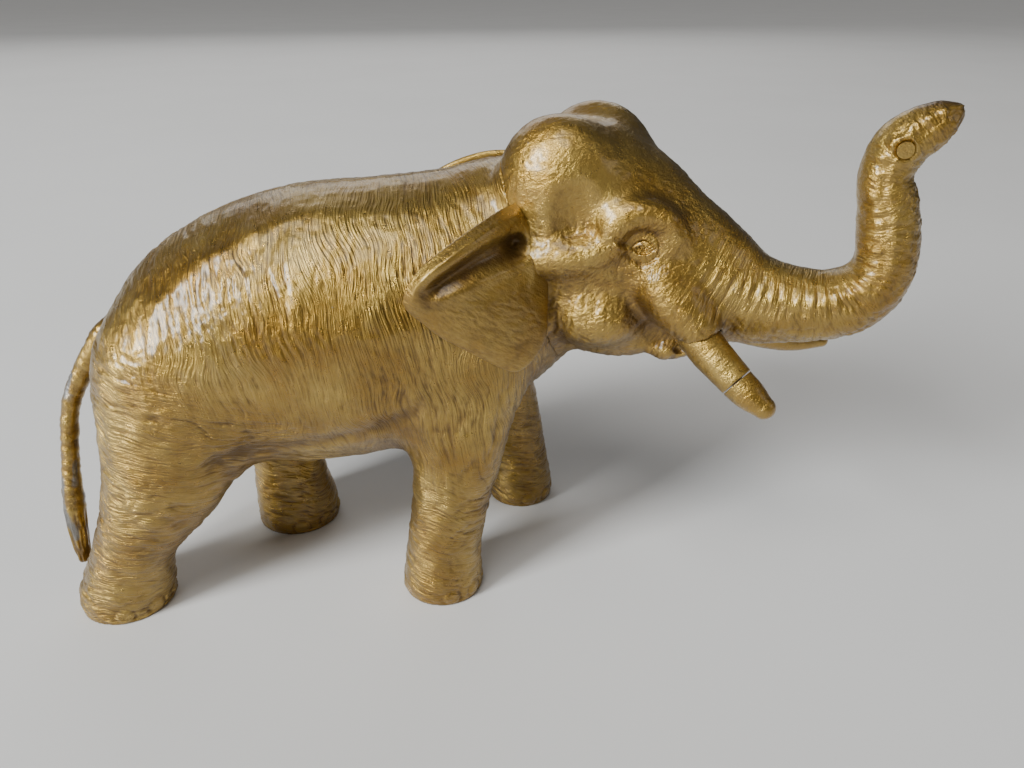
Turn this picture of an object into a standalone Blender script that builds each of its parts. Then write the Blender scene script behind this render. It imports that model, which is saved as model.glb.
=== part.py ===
"""Cast iron still bank: a striding elephant with its trunk raised and its head turned.

The body is two half shells that meet on the animal's middle plane. They clamp the neck
of the head casting and the peg of the tail between them, and two long screws hold them
together. The ears and the tusks are small castings let into the head. Coins go in
through a slot in the back and come out of a round hole in the belly, which a plate on
a pivot screw covers. Lengths below are in millimetres in the animal's own frame: +X is
forward, +Y is its left, +Z is up and the soles stand on z = 0.
"""
import bpy
import bmesh
import numpy as np
from math import cos, pi, radians, sin, tau
from mathutils import Matrix, Vector

MM = 0.001

# Middle of the whole object's bounding box in the animal's frame: it becomes the origin.
CENTRE_X = -6.0
CENTRE_Y = -6.2

# Head: turned to the animal's right about an upright line through the neck.
HEAD_TURN = radians(-25.0)
HEAD_PIVOT = Vector((8.0, 0.0, 0.0))

# Castings.
GAP = 0.3                   # air between touching pieces
VOXEL = 2.2                 # size of the blended form's cells
FORM_SHARE = 0.11           # share of the blended form's triangles that is kept

# Joint between neck and body: a plane through the nape and the throat.
NECK_CENTRE = Vector((18.0, -5.0, 95.5))
NECK_YAW = radians(-12.5)
NECK_PITCH = radians(16.2)
COLLAR = 4.0                # thickness of the body's wall round the neck
SPIGOT_R = 10.5
FLANGE_R = 13.0
FLANGE_T = 3.0
NECK_BORE_R = 6.5

# Money slot in the back, on the left of the parting line.
SLOT_X = -41.0
SLOT_Y = 9.5
SLOT_LENGTH = 28.0
SLOT_WIDTH = 3.4
SLOT_LEAN = radians(-12.0)

# Trap in the left half's belly: a flat round seat that leans out to the left. U runs
# forward in its plane, V down towards the middle of the belly.
TRAP_CENTRE = Vector((-20.0, 14.5, 44.0))
TRAP_LEAN = radians(34.0)
TRAP_HOLE_R = 12.5
TRAP_SEAT_R = 16.0
TRAP_PLATE_R = 15.0
TRAP_PLATE_T = 1.5
TRAP_SWING = 85             # degrees that the plate swings open
PIVOT_U = -18.0
PIVOT_EYE_R = 4.6
WASHER_T = 0.6
PIVOT_SHANK_R = 1.5
PIVOT_SHANK_LENGTH = 11.0
STOP_PIN_R = 1.2
STOP_PIN_V = -(TRAP_PLATE_R + STOP_PIN_R + GAP)

# Long screws across the body: x, z, seat of the head, end of the shank.
BODY_SCREWS = {
    "body_screw_rear": (-70.0, 86.0, 13.0, -10.0),
    "body_screw_front": (-4.0, 63.0, 18.0, -14.0),
}
BODY_SHANK_R = 2.0
BODY_HEAD_R = 4.0
BODY_HEAD_T = 2.6
BOSS_R = 5.6

WALL = 3.3

# Masses of the form. Each tube is a list of stations: x, y, z, radius in the animal's
# upright plane, radius across it.
TORSO = [
    (-72, 0, 69, 25, 23), (-58, 0, 70.5, 33, 29), (-40, 0, 73.5, 37.3, 31),
    (-20, 0, 76, 36.6, 30), (0, 0, 82, 32.5, 26), (14, -1, 90, 27.5, 20), (24, -4, 93, 23, 17),
]
LEGS = {
    "right_hind": [(-74, -14, 66, 22, 15), (-79, -18, 44, 16.5, 13.5), (-89, -19, 26, 11.2, 10.8),
                   (-94, -18, 15, 11.3, 11), (-97, -17, 3, 13, 12.2)],
    "left_hind": [(-66, 14, 66, 22, 15), (-60, 18, 44, 16, 13.5), (-57, 19, 26, 11.2, 10.8),
                  (-56, 18, 15, 11.5, 11), (-55, 17, 3, 13, 12.2)],
    "right_front": [(-1, -15, 80, 19, 12), (-2, -19.5, 56, 14, 11.5), (-5, -21, 34, 11.2, 10.3),
                    (-8, -21, 17, 10.5, 10), (-9, -21, 3, 11.6, 11)],
    "left_front": [(1, 15, 80, 19, 12), (8, 19.5, 56, 13, 11.5), (14, 21, 34, 10.4, 10),
                   (17.5, 21.5, 17, 9.8, 9.6), (18.8, 21.5, 3, 10.9, 10.6)],
}
# In the head's own frame, which HEAD_TURN swings round.
TRUNK = [
    (26, 0, 103, 18, 15), (40, 0, 99, 19.5, 15), (52, 0, 93, 17, 12.5), (64, 0, 88.5, 12.3, 10.3),
    (78, 0, 87.6, 8.9, 9), (88.5, 0, 90.3, 8, 8.3), (94, 0, 98, 6.9, 7.6), (92.8, 0, 110, 6.5, 6.9),
    (90.3, 0, 119, 5.4, 6), (92, 0, 124.8, 4.8, 5.2), (97, 0, 128.6, 3.9, 4.4), (99.8, 0, 131, 2.4, 3),
]
JAW = [(20, 0, 84, 14, 13), (34, 0, 78, 10.5, 10), (46, 0, 73, 6, 6.5)]
# Ellipsoids: centre, radii.
SKULL = [
    ((20, -8, 112.5), (15, 10.5, 17)), ((25, 8, 112.5), (15, 10.5, 16.5)), ((24, 0, 100), (19, 17.5, 20)),
]
HEAD_HOLLOW = ((28, 0, 103), (15, 12, 16.5))

# Tusks in the head's frame: x, y, z, radius. The right one was mended: its tip is its own piece.
TUSK_RIGHT = [(50, -7.5, 87, 4.6), (56, -10.5, 81, 4.9), (61, -13, 76.7, 4.6), (66.5, -15.2, 72.7, 4.2)]
TUSK_RIGHT_TIP = [(66.8, -15.3, 72.4, 4.1), (70, -16.6, 70.2, 3.8), (73.5, -17.8, 68.2, 2.7)]
TUSK_LEFT = [(50, 7.5, 86, 4.6), (56, 10.5, 80.5, 4.9), (62, 13, 76, 4.5), (69, 15.2, 72.3, 3.9),
             (78, 17.2, 70, 3.0), (86, 18.6, 70.4, 1.8)]
TUSK_DOWEL_R = 1.5
TUSK_DOWEL_LENGTH = 7.0

TAIL = [(-84, 0, 79.5, 3.2), (-93, 0, 78, 3.4), (-100, -1, 71, 3.0), (-107, -3, 56, 2.5),
        (-109.5, -7, 40, 2.5), (-108.5, -10, 27, 3.0), (-107.5, -11.5, 14, 2.0)]

# Ears: points of the edge, from the top of the root round the back corner to the lobe and
# up the front, with the thickness of the edge there.
EAR_RIGHT = [(14, -19, 109.5), (0.8, -30, 106.5), (-10.2, -34, 98.2), (-14.4, -34, 91), (-6.9, -33.5, 84),
             (2.2, -33, 78), (10.7, -31, 73), (18.3, -28, 82), (20.5, -22.5, 90)]
EAR_LEFT = [(25, 12.5, 109.5), (12, 27.5, 109.5), (-1, 34.5, 106.5), (-10.5, 35, 98), (-12.5, 35, 91),
            (-5, 34.5, 84), (4, 34, 78), (14, 31.5, 73), (23, 27.5, 80), (26.5, 17.5, 89)]
EAR_PLATE_T = 3.2
EAR_RIM_R = 2.6
EAR_ROOM = 0.6              # air round an ear, measured along its corners' normals

PLUG_R = 1.7
PLUG_DEPTH = 3.0
PLUG_PLACE = (92.3, -5.0, 125.5)

COLOURS = {
    "gold_paint": ((0.45, 0.31, 0.11), 0.38, 0.85),
    "bare_iron": ((0.30, 0.29, 0.28), 0.5, 0.9),
    "screw_steel": ((0.42, 0.40, 0.37), 0.4, 1.0),
}

for old in list(bpy.data.objects):
    bpy.data.objects.remove(old, do_unlink=True)

PARTS = bpy.data.collections.new("elephant_still_bank")
CUTTERS = bpy.data.collections.new("cutters")
for collection in (PARTS, CUTTERS):
    bpy.context.scene.collection.children.link(collection)

NECK_NORMAL = Vector((cos(NECK_PITCH) * cos(NECK_YAW), cos(NECK_PITCH) * sin(NECK_YAW), sin(NECK_PITCH)))
MATERIALS = {}


def material(slot):
    """One Principled material for each finish."""
    if slot not in MATERIALS:
        colour, roughness, metallic = COLOURS[slot]
        made = bpy.data.materials.new(slot)
        made.use_nodes = True
        shader = made.node_tree.nodes["Principled BSDF"]
        shader.inputs["Base Color"].default_value = (*colour, 1.0)
        shader.inputs["Roughness"].default_value = roughness
        shader.inputs["Metallic"].default_value = metallic
        MATERIALS[slot] = made
    return MATERIALS[slot]


def world(point):
    """A point in the animal's frame, in metres from the origin of the object."""
    return Vector((point[0] - CENTRE_X, point[1] - CENTRE_Y, point[2])) * MM


def from_head(point):
    """A point of the head's frame, in the animal's frame."""
    return HEAD_PIVOT + Matrix.Rotation(HEAD_TURN, 3, "Z") @ Vector(point[:3])


def add_object(name, bm, slot=None):
    """A cutter when no finish is given, a part when one is."""
    bmesh.ops.recalc_face_normals(bm, faces=bm.faces)
    mesh = bpy.data.meshes.new(name)
    bm.to_mesh(mesh)
    bm.free()
    made = bpy.data.objects.new(name, mesh)
    if slot:
        PARTS.objects.link(made)
        mesh.materials.append(material(slot))
        mesh.shade_smooth()
        mesh.set_sharp_from_angle(angle=radians(35))
    else:
        CUTTERS.objects.link(made)
        made.hide_render = True
        made.display_type = "WIRE"
    return made


def smooth_stations(stations, steps):
    """A smooth curve through the stations' places and radii, ends included."""
    rows = np.array(stations, float)
    padded = np.vstack([2 * rows[0] - rows[1], rows, 2 * rows[-1] - rows[-2]])
    curve = []
    for i in range(len(rows) - 1):
        a, b, c, d = padded[i:i + 4]
        for t in np.linspace(0, 1, steps, endpoint=False):
            cubic = (-a + 3 * b - 3 * c + d) * t ** 3 + (2 * a - 5 * b + 4 * c - d) * t ** 2
            curve.append(0.5 * (cubic + (c - a) * t + 2 * b))
    curve.append(rows[-1])
    return np.array(curve)


def add_tube(bm, stations, head=False, steps=3, sides=16, grow=0.0, round_ends=True):
    """A closed loft of ellipses along the stations."""
    curve = smooth_stations(stations, steps)
    centres = [from_head(row) if head else Vector(row[:3]) for row in curve]
    upright = curve[:, 3] + grow
    across = (curve[:, 4] if curve.shape[1] > 4 else curve[:, 3]) + grow
    side = Matrix.Rotation(HEAD_TURN if head else 0.0, 3, "Z") @ Vector((0, 1, 0))
    rings = []
    for i, centre in enumerate(centres):
        along = (centres[min(i + 1, len(centres) - 1)] - centres[max(i - 1, 0)]).normalized()
        rings.append((centre, along, upright[i], across[i]))
    if round_ends:
        first, last = rings[0], rings[-1]
        for angle in (30, 60, 82):
            reach, share = sin(radians(angle)), cos(radians(angle))
            rings.insert(0, (first[0] - first[1] * first[2] * reach, first[1], first[2] * share, first[3] * share))
            rings.append((last[0] + last[1] * last[2] * reach, last[1], last[2] * share, last[3] * share))
    loops = []
    for centre, along, r_up, r_side in rings:
        lateral = (side - along * side.dot(along)).normalized()
        up = along.cross(lateral)
        angles = [tau * k / sides for k in range(sides)]
        points = [centre + lateral * (r_side * cos(a)) + up * (r_up * sin(a)) for a in angles]
        loops.append([bm.verts.new(world(p)) for p in points])
    for low, high in zip(loops, loops[1:]):
        for k in range(sides):
            bm.faces.new((low[k], low[(k + 1) % sides], high[(k + 1) % sides], high[k]))
    bm.faces.new(loops[0])
    bm.faces.new(loops[-1])


def add_ellipsoid(bm, centre, radii, head=False):
    """An ellipsoid, turned with the head if it belongs to it."""
    place = from_head(centre) if head else Vector(centre)
    turn = Matrix.Rotation(HEAD_TURN if head else 0.0, 4, "Z")
    size = Matrix.Diagonal((*(Vector(radii) * MM), 1.0))
    matrix = Matrix.Translation(world(place)) @ turn @ size
    bmesh.ops.create_uvsphere(bm, u_segments=24, v_segments=14, radius=1.0, matrix=matrix)


def add_rod(bm, start, end, radius, sides=24):
    """A cylinder between two points."""
    a, b = world(start), world(end)
    turn = (b - a).to_track_quat("Z", "X").to_matrix().to_4x4()
    matrix = Matrix.Translation((a + b) / 2) @ turn
    bmesh.ops.create_cone(bm, cap_ends=True, segments=sides, radius1=radius * MM, radius2=radius * MM,
                          depth=(b - a).length, matrix=matrix)


def add_box(bm, centre, size, turn=None):
    """A box about a centre."""
    matrix = Matrix.Translation(world(centre)) @ (turn or Matrix.Identity(4))
    bmesh.ops.create_cube(bm, size=1.0, matrix=matrix @ Matrix.Diagonal((*(Vector(size) * MM), 1.0)))


def rod_cutter(name, start, end, radius, sides=24):
    bm = bmesh.new()
    add_rod(bm, start, end, radius, sides)
    return add_object(name, bm)


def box_cutter(name, centre, size, turn=None):
    bm = bmesh.new()
    add_box(bm, centre, size, turn)
    return add_object(name, bm)


def tube_cutter(name, stations, **options):
    bm = bmesh.new()
    add_tube(bm, stations, **options)
    return add_object(name, bm)


def boolean(target, other, operation="DIFFERENCE", solver="EXACT"):
    """Cut or join with another object."""
    change = target.modifiers.new(other.name, "BOOLEAN")
    change.operation = operation
    change.object = other
    change.solver = solver


def settle(made, name=None):
    """Replace an object's mesh by the one its modifiers give."""
    bpy.context.view_layer.update()
    evaluated = made.evaluated_get(bpy.context.evaluated_depsgraph_get())
    mesh = bpy.data.meshes.new_from_object(evaluated)
    made.modifiers.clear()
    made.data = mesh
    mesh.name = name or made.name


def blend(made, voxel, smooths, share):
    """Melt overlapping shapes into one soft form with few triangles."""
    remesh = made.modifiers.new("Melt", "REMESH")
    remesh.mode = "VOXEL"
    remesh.voxel_size = voxel * MM
    soften = made.modifiers.new("Soften", "SMOOTH")
    soften.factor = 0.5
    soften.iterations = smooths
    thin = made.modifiers.new("Thin", "DECIMATE")
    thin.ratio = share
    settle(made)


def neck_point(along):
    """A point on the neck's axis, along it from the joint plane (forward is positive)."""
    return NECK_CENTRE + NECK_NORMAL * along


def trap_point(u, v, out):
    """A point on the trap: along U and V in its plane, and out of the belly."""
    along_v = Vector((0, -cos(TRAP_LEAN), -sin(TRAP_LEAN)))
    outward = Vector((0, sin(TRAP_LEAN), -cos(TRAP_LEAN)))
    return TRAP_CENTRE + Vector((u, 0, 0)) + along_v * v + outward * out


def trap_rod(name, u, v, inner, outer, radius, sides=24):
    """A cylinder square to the trap's plane, as a cutter."""
    return rod_cutter(name, trap_point(u, v, inner), trap_point(u, v, outer), radius, sides)


def neck_block(name, start, end):
    """A block that covers everything between two planes square to the neck's axis."""
    turn = NECK_NORMAL.to_track_quat("Z", "X").to_matrix().to_4x4()
    return box_cutter(name, neck_point((start + end) / 2), (300, 300, end - start), turn)


# ---- the whole animal's form, which three castings share ---------------------------

def swing_room():
    """The flat space that the trap's plate and eye sweep, a little larger all round."""
    bm = bmesh.new()
    discs = [(PIVOT_U, 0, PIVOT_EYE_R + 0.6)]
    for degrees in range(0, TRAP_SWING + 1, 17):
        turn = radians(degrees)
        discs.append((PIVOT_U - PIVOT_U * cos(turn), -PIVOT_U * sin(turn), TRAP_PLATE_R + 0.8))
    for u, v, radius in discs:
        for k in range(24):
            angle = tau * k / 24
            for out in (0, 7):
                bm.verts.new(world(trap_point(u + radius * cos(angle), v + radius * sin(angle), out)))
    bmesh.ops.convex_hull(bm, input=bm.verts)
    inside = [v for v in bm.verts if not v.link_faces]
    bmesh.ops.delete(bm, geom=inside, context="VERTS")
    return add_object("swing_room", bm)


def elephant_form():
    bm = bmesh.new()
    add_tube(bm, TORSO, sides=24)
    for leg in LEGS.values():
        add_tube(bm, leg)
    add_tube(bm, TRUNK, head=True)
    add_tube(bm, JAW, head=True)
    for centre, radii in SKULL:
        add_ellipsoid(bm, centre, radii, head=True)
    form = add_object("form", bm)
    blend(form, VOXEL, 5, FORM_SHARE)
    boolean(form, box_cutter("below_soles", (0, 0, -25), (400, 200, 50)))
    seat = trap_rod("trap_seat", 0, 0, -6, 1, TRAP_SEAT_R, 40)
    boolean(seat, trap_rod("pivot_seat", PIVOT_U, 0, -5, 0.8, PIVOT_EYE_R + 0.4), "UNION")
    boolean(seat, trap_rod("stop_pin_seat", 0, STOP_PIN_V, -6.5, 0.6, STOP_PIN_R + 1.6, 16), "UNION")
    boolean(form, seat, "UNION")
    boolean(form, swing_room())
    settle(form)
    return form


def money_chamber():
    """The hollow of the body, with the bosses left standing in it."""
    bm = bmesh.new()
    add_tube(bm, TORSO[:-1], grow=-WALL, sides=16, steps=2)
    chamber = add_object("money_chamber", bm)
    boolean(chamber, neck_block("neck_wall", -COLLAR, 60))
    boolean(chamber, rod_cutter("neck_pocket", neck_point(-COLLAR - 9), neck_point(-COLLAR), FLANGE_R + 0.6), "UNION")
    for name, (x, z, _, _) in BODY_SCREWS.items():
        boolean(chamber, rod_cutter("boss_of_" + name, (x, -40, z), (x, 40, z), BOSS_R))
    boolean(chamber, trap_rod("boss_of_pivot", PIVOT_U, 0, -PIVOT_SHANK_LENGTH - 3, 6, PIVOT_SHANK_R + 3))
    settle(chamber)
    return chamber


def ear(name, edge):
    """A dished plate with a rolled upper rim, its root sunk in the side of the head."""
    bm = bmesh.new()
    corners = [Vector(p) for p in edge]
    middle = sum(corners, Vector()) / len(corners)
    inward = Vector((0, -1 if middle.y > 0 else 1, 0))
    half = inward * (EAR_PLATE_T / 2)
    dish = inward * 2.0
    front = [bm.verts.new(world(p - half)) for p in corners]
    back = [bm.verts.new(world(p + half)) for p in corners]
    front_middle = bm.verts.new(world(middle + dish - half))
    back_middle = bm.verts.new(world(middle + dish + half))
    count = len(corners)
    for i in range(count):
        j = (i + 1) % count
        bm.faces.new((front[i], front[j], front_middle))
        bm.faces.new((back[j], back[i], back_middle))
        bm.faces.new((front[j], front[i], back[i], back[j]))
    rim = [(*p, EAR_RIM_R) for p in edge[:5]]
    add_tube(bm, rim, sides=10, steps=3)
    root = (corners[0] * 0.5 + corners[-1] * 0.5)
    peg_in = root + Vector((5.0, -6.0 * (1 if middle.y > 0 else -1), 0))
    add_rod(bm, root - (peg_in - root) * 0.3, peg_in, 3.4, 16)
    made = add_object(name, bm, "gold_paint")
    blend(made, 1.4, 3, 0.1)
    made.data.materials.clear()
    made.data.materials.append(material("gold_paint"))
    return made


def ear_room(piece):
    """A swollen copy of an ear, to cut its neighbours with."""
    room = bpy.data.objects.new("room_for_" + piece.name, piece.data.copy())
    CUTTERS.objects.link(room)
    room.hide_render = True
    room.display_type = "WIRE"
    swell = room.modifiers.new("Swell", "DISPLACE")
    swell.strength = EAR_ROOM * MM
    swell.mid_level = 0.0
    settle(room)
    return room


def slotted_screw(name, seat, tip, shank_r, head_r, head_t, slot):
    """A cheese-head screw: seat is the underside of the head, tip the end of the shank."""
    seat, tip = Vector(seat), Vector(tip)
    outward = (seat - tip).normalized()
    bm = bmesh.new()
    add_rod(bm, tip, seat + outward * (head_t / 2), shank_r, 20)
    made = add_object(name, bm, slot)
    boolean(made, rod_cutter(name + "_head", seat, seat + outward * head_t, head_r, 28), "UNION")
    turn = outward.to_track_quat("Z", "X").to_matrix().to_4x4()
    boolean(made, box_cutter(name + "_slot", seat + outward * head_t, (head_r * 3, 1.0, head_t * 0.9), turn))
    return made


def casting(name, form, slot="gold_paint"):
    """A part that starts as a copy of the shared form."""
    made = bpy.data.objects.new(name, form.data.copy())
    PARTS.objects.link(made)
    made.data.materials.clear()
    made.data.materials.append(material(slot))
    return made


def finish_casting(made):
    settle(made)
    made.data.materials.clear()
    made.data.materials.append(material("gold_paint"))
    made.data.shade_smooth()
    made.data.set_sharp_from_angle(angle=radians(35))


def body_halves(form, chamber, ear_rooms):
    ahead = neck_block("ahead_of_neck", -GAP / 2, 300)
    neck_hole = rod_cutter("neck_hole", neck_point(-COLLAR - 3), neck_point(5), SPIGOT_R + GAP)
    trap_hole = trap_rod("trap_hole", 0, 0, -9, 6, TRAP_HOLE_R, 36)
    tail_hole = tube_cutter("tail_clearance", TAIL, grow=GAP + 0.1, sides=10, steps=2)
    halves = {}
    for side, sign in (("right", -1), ("left", 1)):
        half = casting("torso_" + side + "_half", form)
        boolean(half, box_cutter("parting_" + side, (0, -sign * (100 - GAP / 2), 70), (400, 200, 300)))
        for cutter in (chamber, ahead, neck_hole, tail_hole, *ear_rooms):
            boolean(half, cutter)
        halves[side] = half
    for name, (x, z, seat, tip) in BODY_SCREWS.items():
        boolean(halves["left"], rod_cutter(name + "_way", (x, -3, z), (x, 60, z), BODY_SHANK_R + GAP))
        boolean(halves["left"], rod_cutter(name + "_recess", (x, seat, z), (x, 60, z), BODY_HEAD_R + 0.5))
        boolean(halves["right"], rod_cutter(name + "_thread", (x, tip - 1, z), (x, 3, z), BODY_SHANK_R + GAP))
    boolean(halves["left"], trap_hole)
    slot_turn = Matrix.Rotation(SLOT_LEAN, 4, "X")
    boolean(halves["left"], box_cutter("money_slot", (SLOT_X, SLOT_Y, 108), (SLOT_LENGTH, SLOT_WIDTH, 30), slot_turn))
    boolean(halves["left"], trap_rod("stop_pin_hole", 0, STOP_PIN_V, -4.5, 5, STOP_PIN_R + GAP, 16))
    boolean(halves["left"], trap_rod("pivot_hole", PIVOT_U, 0, -PIVOT_SHANK_LENGTH - 1, 5, PIVOT_SHANK_R + GAP, 16))
    for half in halves.values():
        finish_casting(half)


def head_casting(form, ear_rooms):
    """The exact solver leaves a torn edge at a tusk's socket, so this casting uses the other one."""

    def change(target, other, operation="DIFFERENCE"):
        boolean(target, other, operation, "MANIFOLD")

    head = casting("head_casting", form)
    change(head, neck_block("behind_neck", -300, GAP / 2))
    bm = bmesh.new()
    add_rod(bm, neck_point(-COLLAR - GAP - FLANGE_T / 2), neck_point(4), SPIGOT_R, 32)
    spigot = add_object("spigot", bm)
    flange = rod_cutter("flange", neck_point(-COLLAR - GAP - FLANGE_T), neck_point(-COLLAR - GAP), FLANGE_R, 32)
    change(spigot, flange, "UNION")
    change(head, spigot, "UNION")
    bm = bmesh.new()
    add_ellipsoid(bm, *HEAD_HOLLOW, head=True)
    hollow = add_object("head_hollow", bm)
    change(hollow, rod_cutter("neck_bore", neck_point(-30), neck_point(12), NECK_BORE_R, 20), "UNION")
    settle(hollow)
    change(head, hollow)
    for name, stations in (("right", TUSK_RIGHT), ("left", TUSK_LEFT)):
        change(head, tube_cutter("tusk_socket_" + name, stations, head=True, grow=GAP, sides=12, steps=2))
    for room in ear_rooms:
        change(head, room)
    x, y, z = PLUG_PLACE
    change(head, rod_cutter("plug_hole", from_head((x, y + PLUG_DEPTH + GAP, z)), from_head((x, y - 8, z)),
                             PLUG_R + GAP, 16))
    finish_casting(head)


def small_castings():
    """The left tusk, the tail and the trunk's plug."""
    bm = bmesh.new()
    add_tube(bm, TUSK_LEFT, head=True, sides=12, steps=2)
    add_object("tusk_left", bm, "gold_paint")
    bm = bmesh.new()
    add_tube(bm, TAIL, sides=10, steps=2)
    add_object("tail", bm, "gold_paint")
    x, y, z = PLUG_PLACE
    bm = bmesh.new()
    add_rod(bm, from_head((x, y + PLUG_DEPTH, z)), from_head((x, y - 1.0, z)), PLUG_R, 18)
    add_object("trunk_plug", bm, "gold_paint")


def mended_tusk():
    """Stub and tip meet face to face, with a steel dowel through the joint."""
    stub_end = from_head(TUSK_RIGHT[-1])
    tip_start = from_head(TUSK_RIGHT_TIP[0])
    along = (tip_start - from_head(TUSK_RIGHT[-2])).normalized()
    joint = (stub_end + tip_start) / 2
    turn = along.to_track_quat("Z", "X").to_matrix().to_4x4()
    dowel_hole = rod_cutter("dowel_hole", joint - along * (TUSK_DOWEL_LENGTH / 2 + GAP),
                            joint + along * (TUSK_DOWEL_LENGTH / 2 + GAP), TUSK_DOWEL_R + GAP, 16)
    for name, stations, sign in (("tusk_right", TUSK_RIGHT, 1), ("tusk_right_tip", TUSK_RIGHT_TIP, -1)):
        bm = bmesh.new()
        add_tube(bm, stations, head=True, sides=12, steps=2)
        piece = add_object(name, bm, "gold_paint")
        block = box_cutter(name + "_face", joint + along * (sign * (20 - GAP / 2)), (40, 40, 40), turn)
        boolean(piece, block)
        boolean(piece, dowel_hole)
    bm = bmesh.new()
    add_rod(bm, joint - along * (TUSK_DOWEL_LENGTH / 2), joint + along * (TUSK_DOWEL_LENGTH / 2), TUSK_DOWEL_R, 16)
    add_object("tusk_dowel", bm, "screw_steel")


def trap():
    """Stacked outwards from the seat: plate, spring washer, head of the pivot screw."""
    inner = GAP
    outer = inner + TRAP_PLATE_T
    bm = bmesh.new()
    add_rod(bm, trap_point(0, 0, inner), trap_point(0, 0, outer), TRAP_PLATE_R, 40)
    door = add_object("trap_door", bm, "gold_paint")
    boolean(door, trap_rod("trap_eye", PIVOT_U, 0, inner, outer, PIVOT_EYE_R), "UNION")
    turn = (trap_point(0, 0, 1) - trap_point(0, 0, 0)).to_track_quat("Z", "X").to_matrix().to_4x4()
    lip = box_cutter("trap_lip", trap_point(TRAP_PLATE_R - 2.2, 0, outer + 0.7), (1.6, 9.0, 2.0), turn)
    boolean(door, lip, "UNION")
    boolean(door, trap_rod("trap_eye_hole", PIVOT_U, 0, inner - 3, outer + 3, PIVOT_SHANK_R + 0.1))
    washer_inner = outer + GAP
    washer_outer = washer_inner + WASHER_T
    bm = bmesh.new()
    add_rod(bm, trap_point(PIVOT_U, 0, washer_inner), trap_point(PIVOT_U, 0, washer_outer), PIVOT_EYE_R - 0.6)
    washer = add_object("trap_spring_washer", bm, "screw_steel")
    boolean(washer, trap_rod("washer_hole", PIVOT_U, 0, outer - 2, washer_outer + 2, PIVOT_SHANK_R + GAP, 20))
    slotted_screw("trap_pivot_screw", trap_point(PIVOT_U, 0, washer_outer + GAP),
                  trap_point(PIVOT_U, 0, -PIVOT_SHANK_LENGTH), PIVOT_SHANK_R, 3.6, 1.8, "screw_steel")
    bm = bmesh.new()
    add_rod(bm, trap_point(0, STOP_PIN_V, -4), trap_point(0, STOP_PIN_V, outer), STOP_PIN_R, 16)
    add_object("trap_stop_pin", bm, "screw_steel")


def fasteners():
    for name, (x, z, seat, tip) in BODY_SCREWS.items():
        slotted_screw(name, (x, seat + GAP, z), (x, tip, z), BODY_SHANK_R, BODY_HEAD_R, BODY_HEAD_T, "screw_steel")


FORM = elephant_form()
CHAMBER = money_chamber()
EARS = [ear("ear_right", EAR_RIGHT), ear("ear_left", EAR_LEFT)]
EAR_ROOMS = [ear_room(piece) for piece in EARS]
body_halves(FORM, CHAMBER, EAR_ROOMS)
head_casting(FORM, EAR_ROOMS)
small_castings()
mended_tusk()
trap()
fasteners()
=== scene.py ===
"""Looks of the elephant still bank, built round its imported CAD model.

The animal is modelled once as a field of distances on a regular grid, from the same masses
as the CAD castings. Its surface is cut into the castings, creased by formulas and painted
with procedural materials. Lengths are in millimetres in the animal's own frame (+X forward,
+Y its left, +Z up, soles on z = 0) until they go into a mesh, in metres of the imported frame.
"""
from functools import reduce
from itertools import product
from math import cos, radians, sin, tau

import bmesh
import bpy
import numpy as np
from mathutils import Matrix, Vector

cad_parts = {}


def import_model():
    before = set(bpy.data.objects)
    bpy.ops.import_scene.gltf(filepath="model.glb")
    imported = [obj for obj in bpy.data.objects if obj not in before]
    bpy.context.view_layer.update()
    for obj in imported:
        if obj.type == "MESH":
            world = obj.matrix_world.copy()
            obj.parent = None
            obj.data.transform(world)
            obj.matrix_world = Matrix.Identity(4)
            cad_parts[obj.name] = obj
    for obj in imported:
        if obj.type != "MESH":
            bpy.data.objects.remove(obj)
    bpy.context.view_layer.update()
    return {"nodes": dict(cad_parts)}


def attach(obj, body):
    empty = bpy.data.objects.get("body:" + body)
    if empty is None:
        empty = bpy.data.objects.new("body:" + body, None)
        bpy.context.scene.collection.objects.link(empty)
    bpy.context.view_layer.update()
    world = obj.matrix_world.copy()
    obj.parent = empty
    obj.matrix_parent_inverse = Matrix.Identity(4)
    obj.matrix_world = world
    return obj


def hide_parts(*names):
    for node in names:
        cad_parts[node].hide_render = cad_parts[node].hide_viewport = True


MM = 0.001
LOOK = "_look"             # ends the name of each material
CENTRE = np.array([-6.0, -6.2, 0.0])     # middle of the object's box, in the animal's frame
HEAD_TURN = radians(-25.0)
HEAD_PIVOT = np.array([8.0, 0.0, 0.0])
UP = np.array([0.0, 0.0, 1.0])

# Grid cells of the body and of the head.
BODY_CELL, HEAD_CELL = ((0.55, 0.42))
FAR = 1000.0
CORNERS = list(product((0, 1), repeat=3))    # of a cell

# ---- sizes, the CAD model's or close to them ------------------------------------------
GAP = 0.3
SEAM = 0.06                 # of the looks, where the painted castings meet
WALL = 3.3
NECK_CENTRE = np.array([18.0, -5.0, 95.5])
NECK_YAW = radians(-12.5)
NECK_PITCH = radians(16.2)
NECK_NORMAL = np.array([
    cos(NECK_PITCH) * cos(NECK_YAW), cos(NECK_PITCH) * sin(NECK_YAW), sin(NECK_PITCH),
])
COLLAR = 4.0
SPIGOT_R = 10.5
FLANGE_R = 13.0
FLANGE_T = 3.0
NECK_BORE_R = 6.5

SLOT_CENTRE = (-41.0, 9.5, 108.0)
SLOT_SIZE = (28.0, 3.4, 30.0)
SLOT_LEAN = radians(-12.0)

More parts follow.
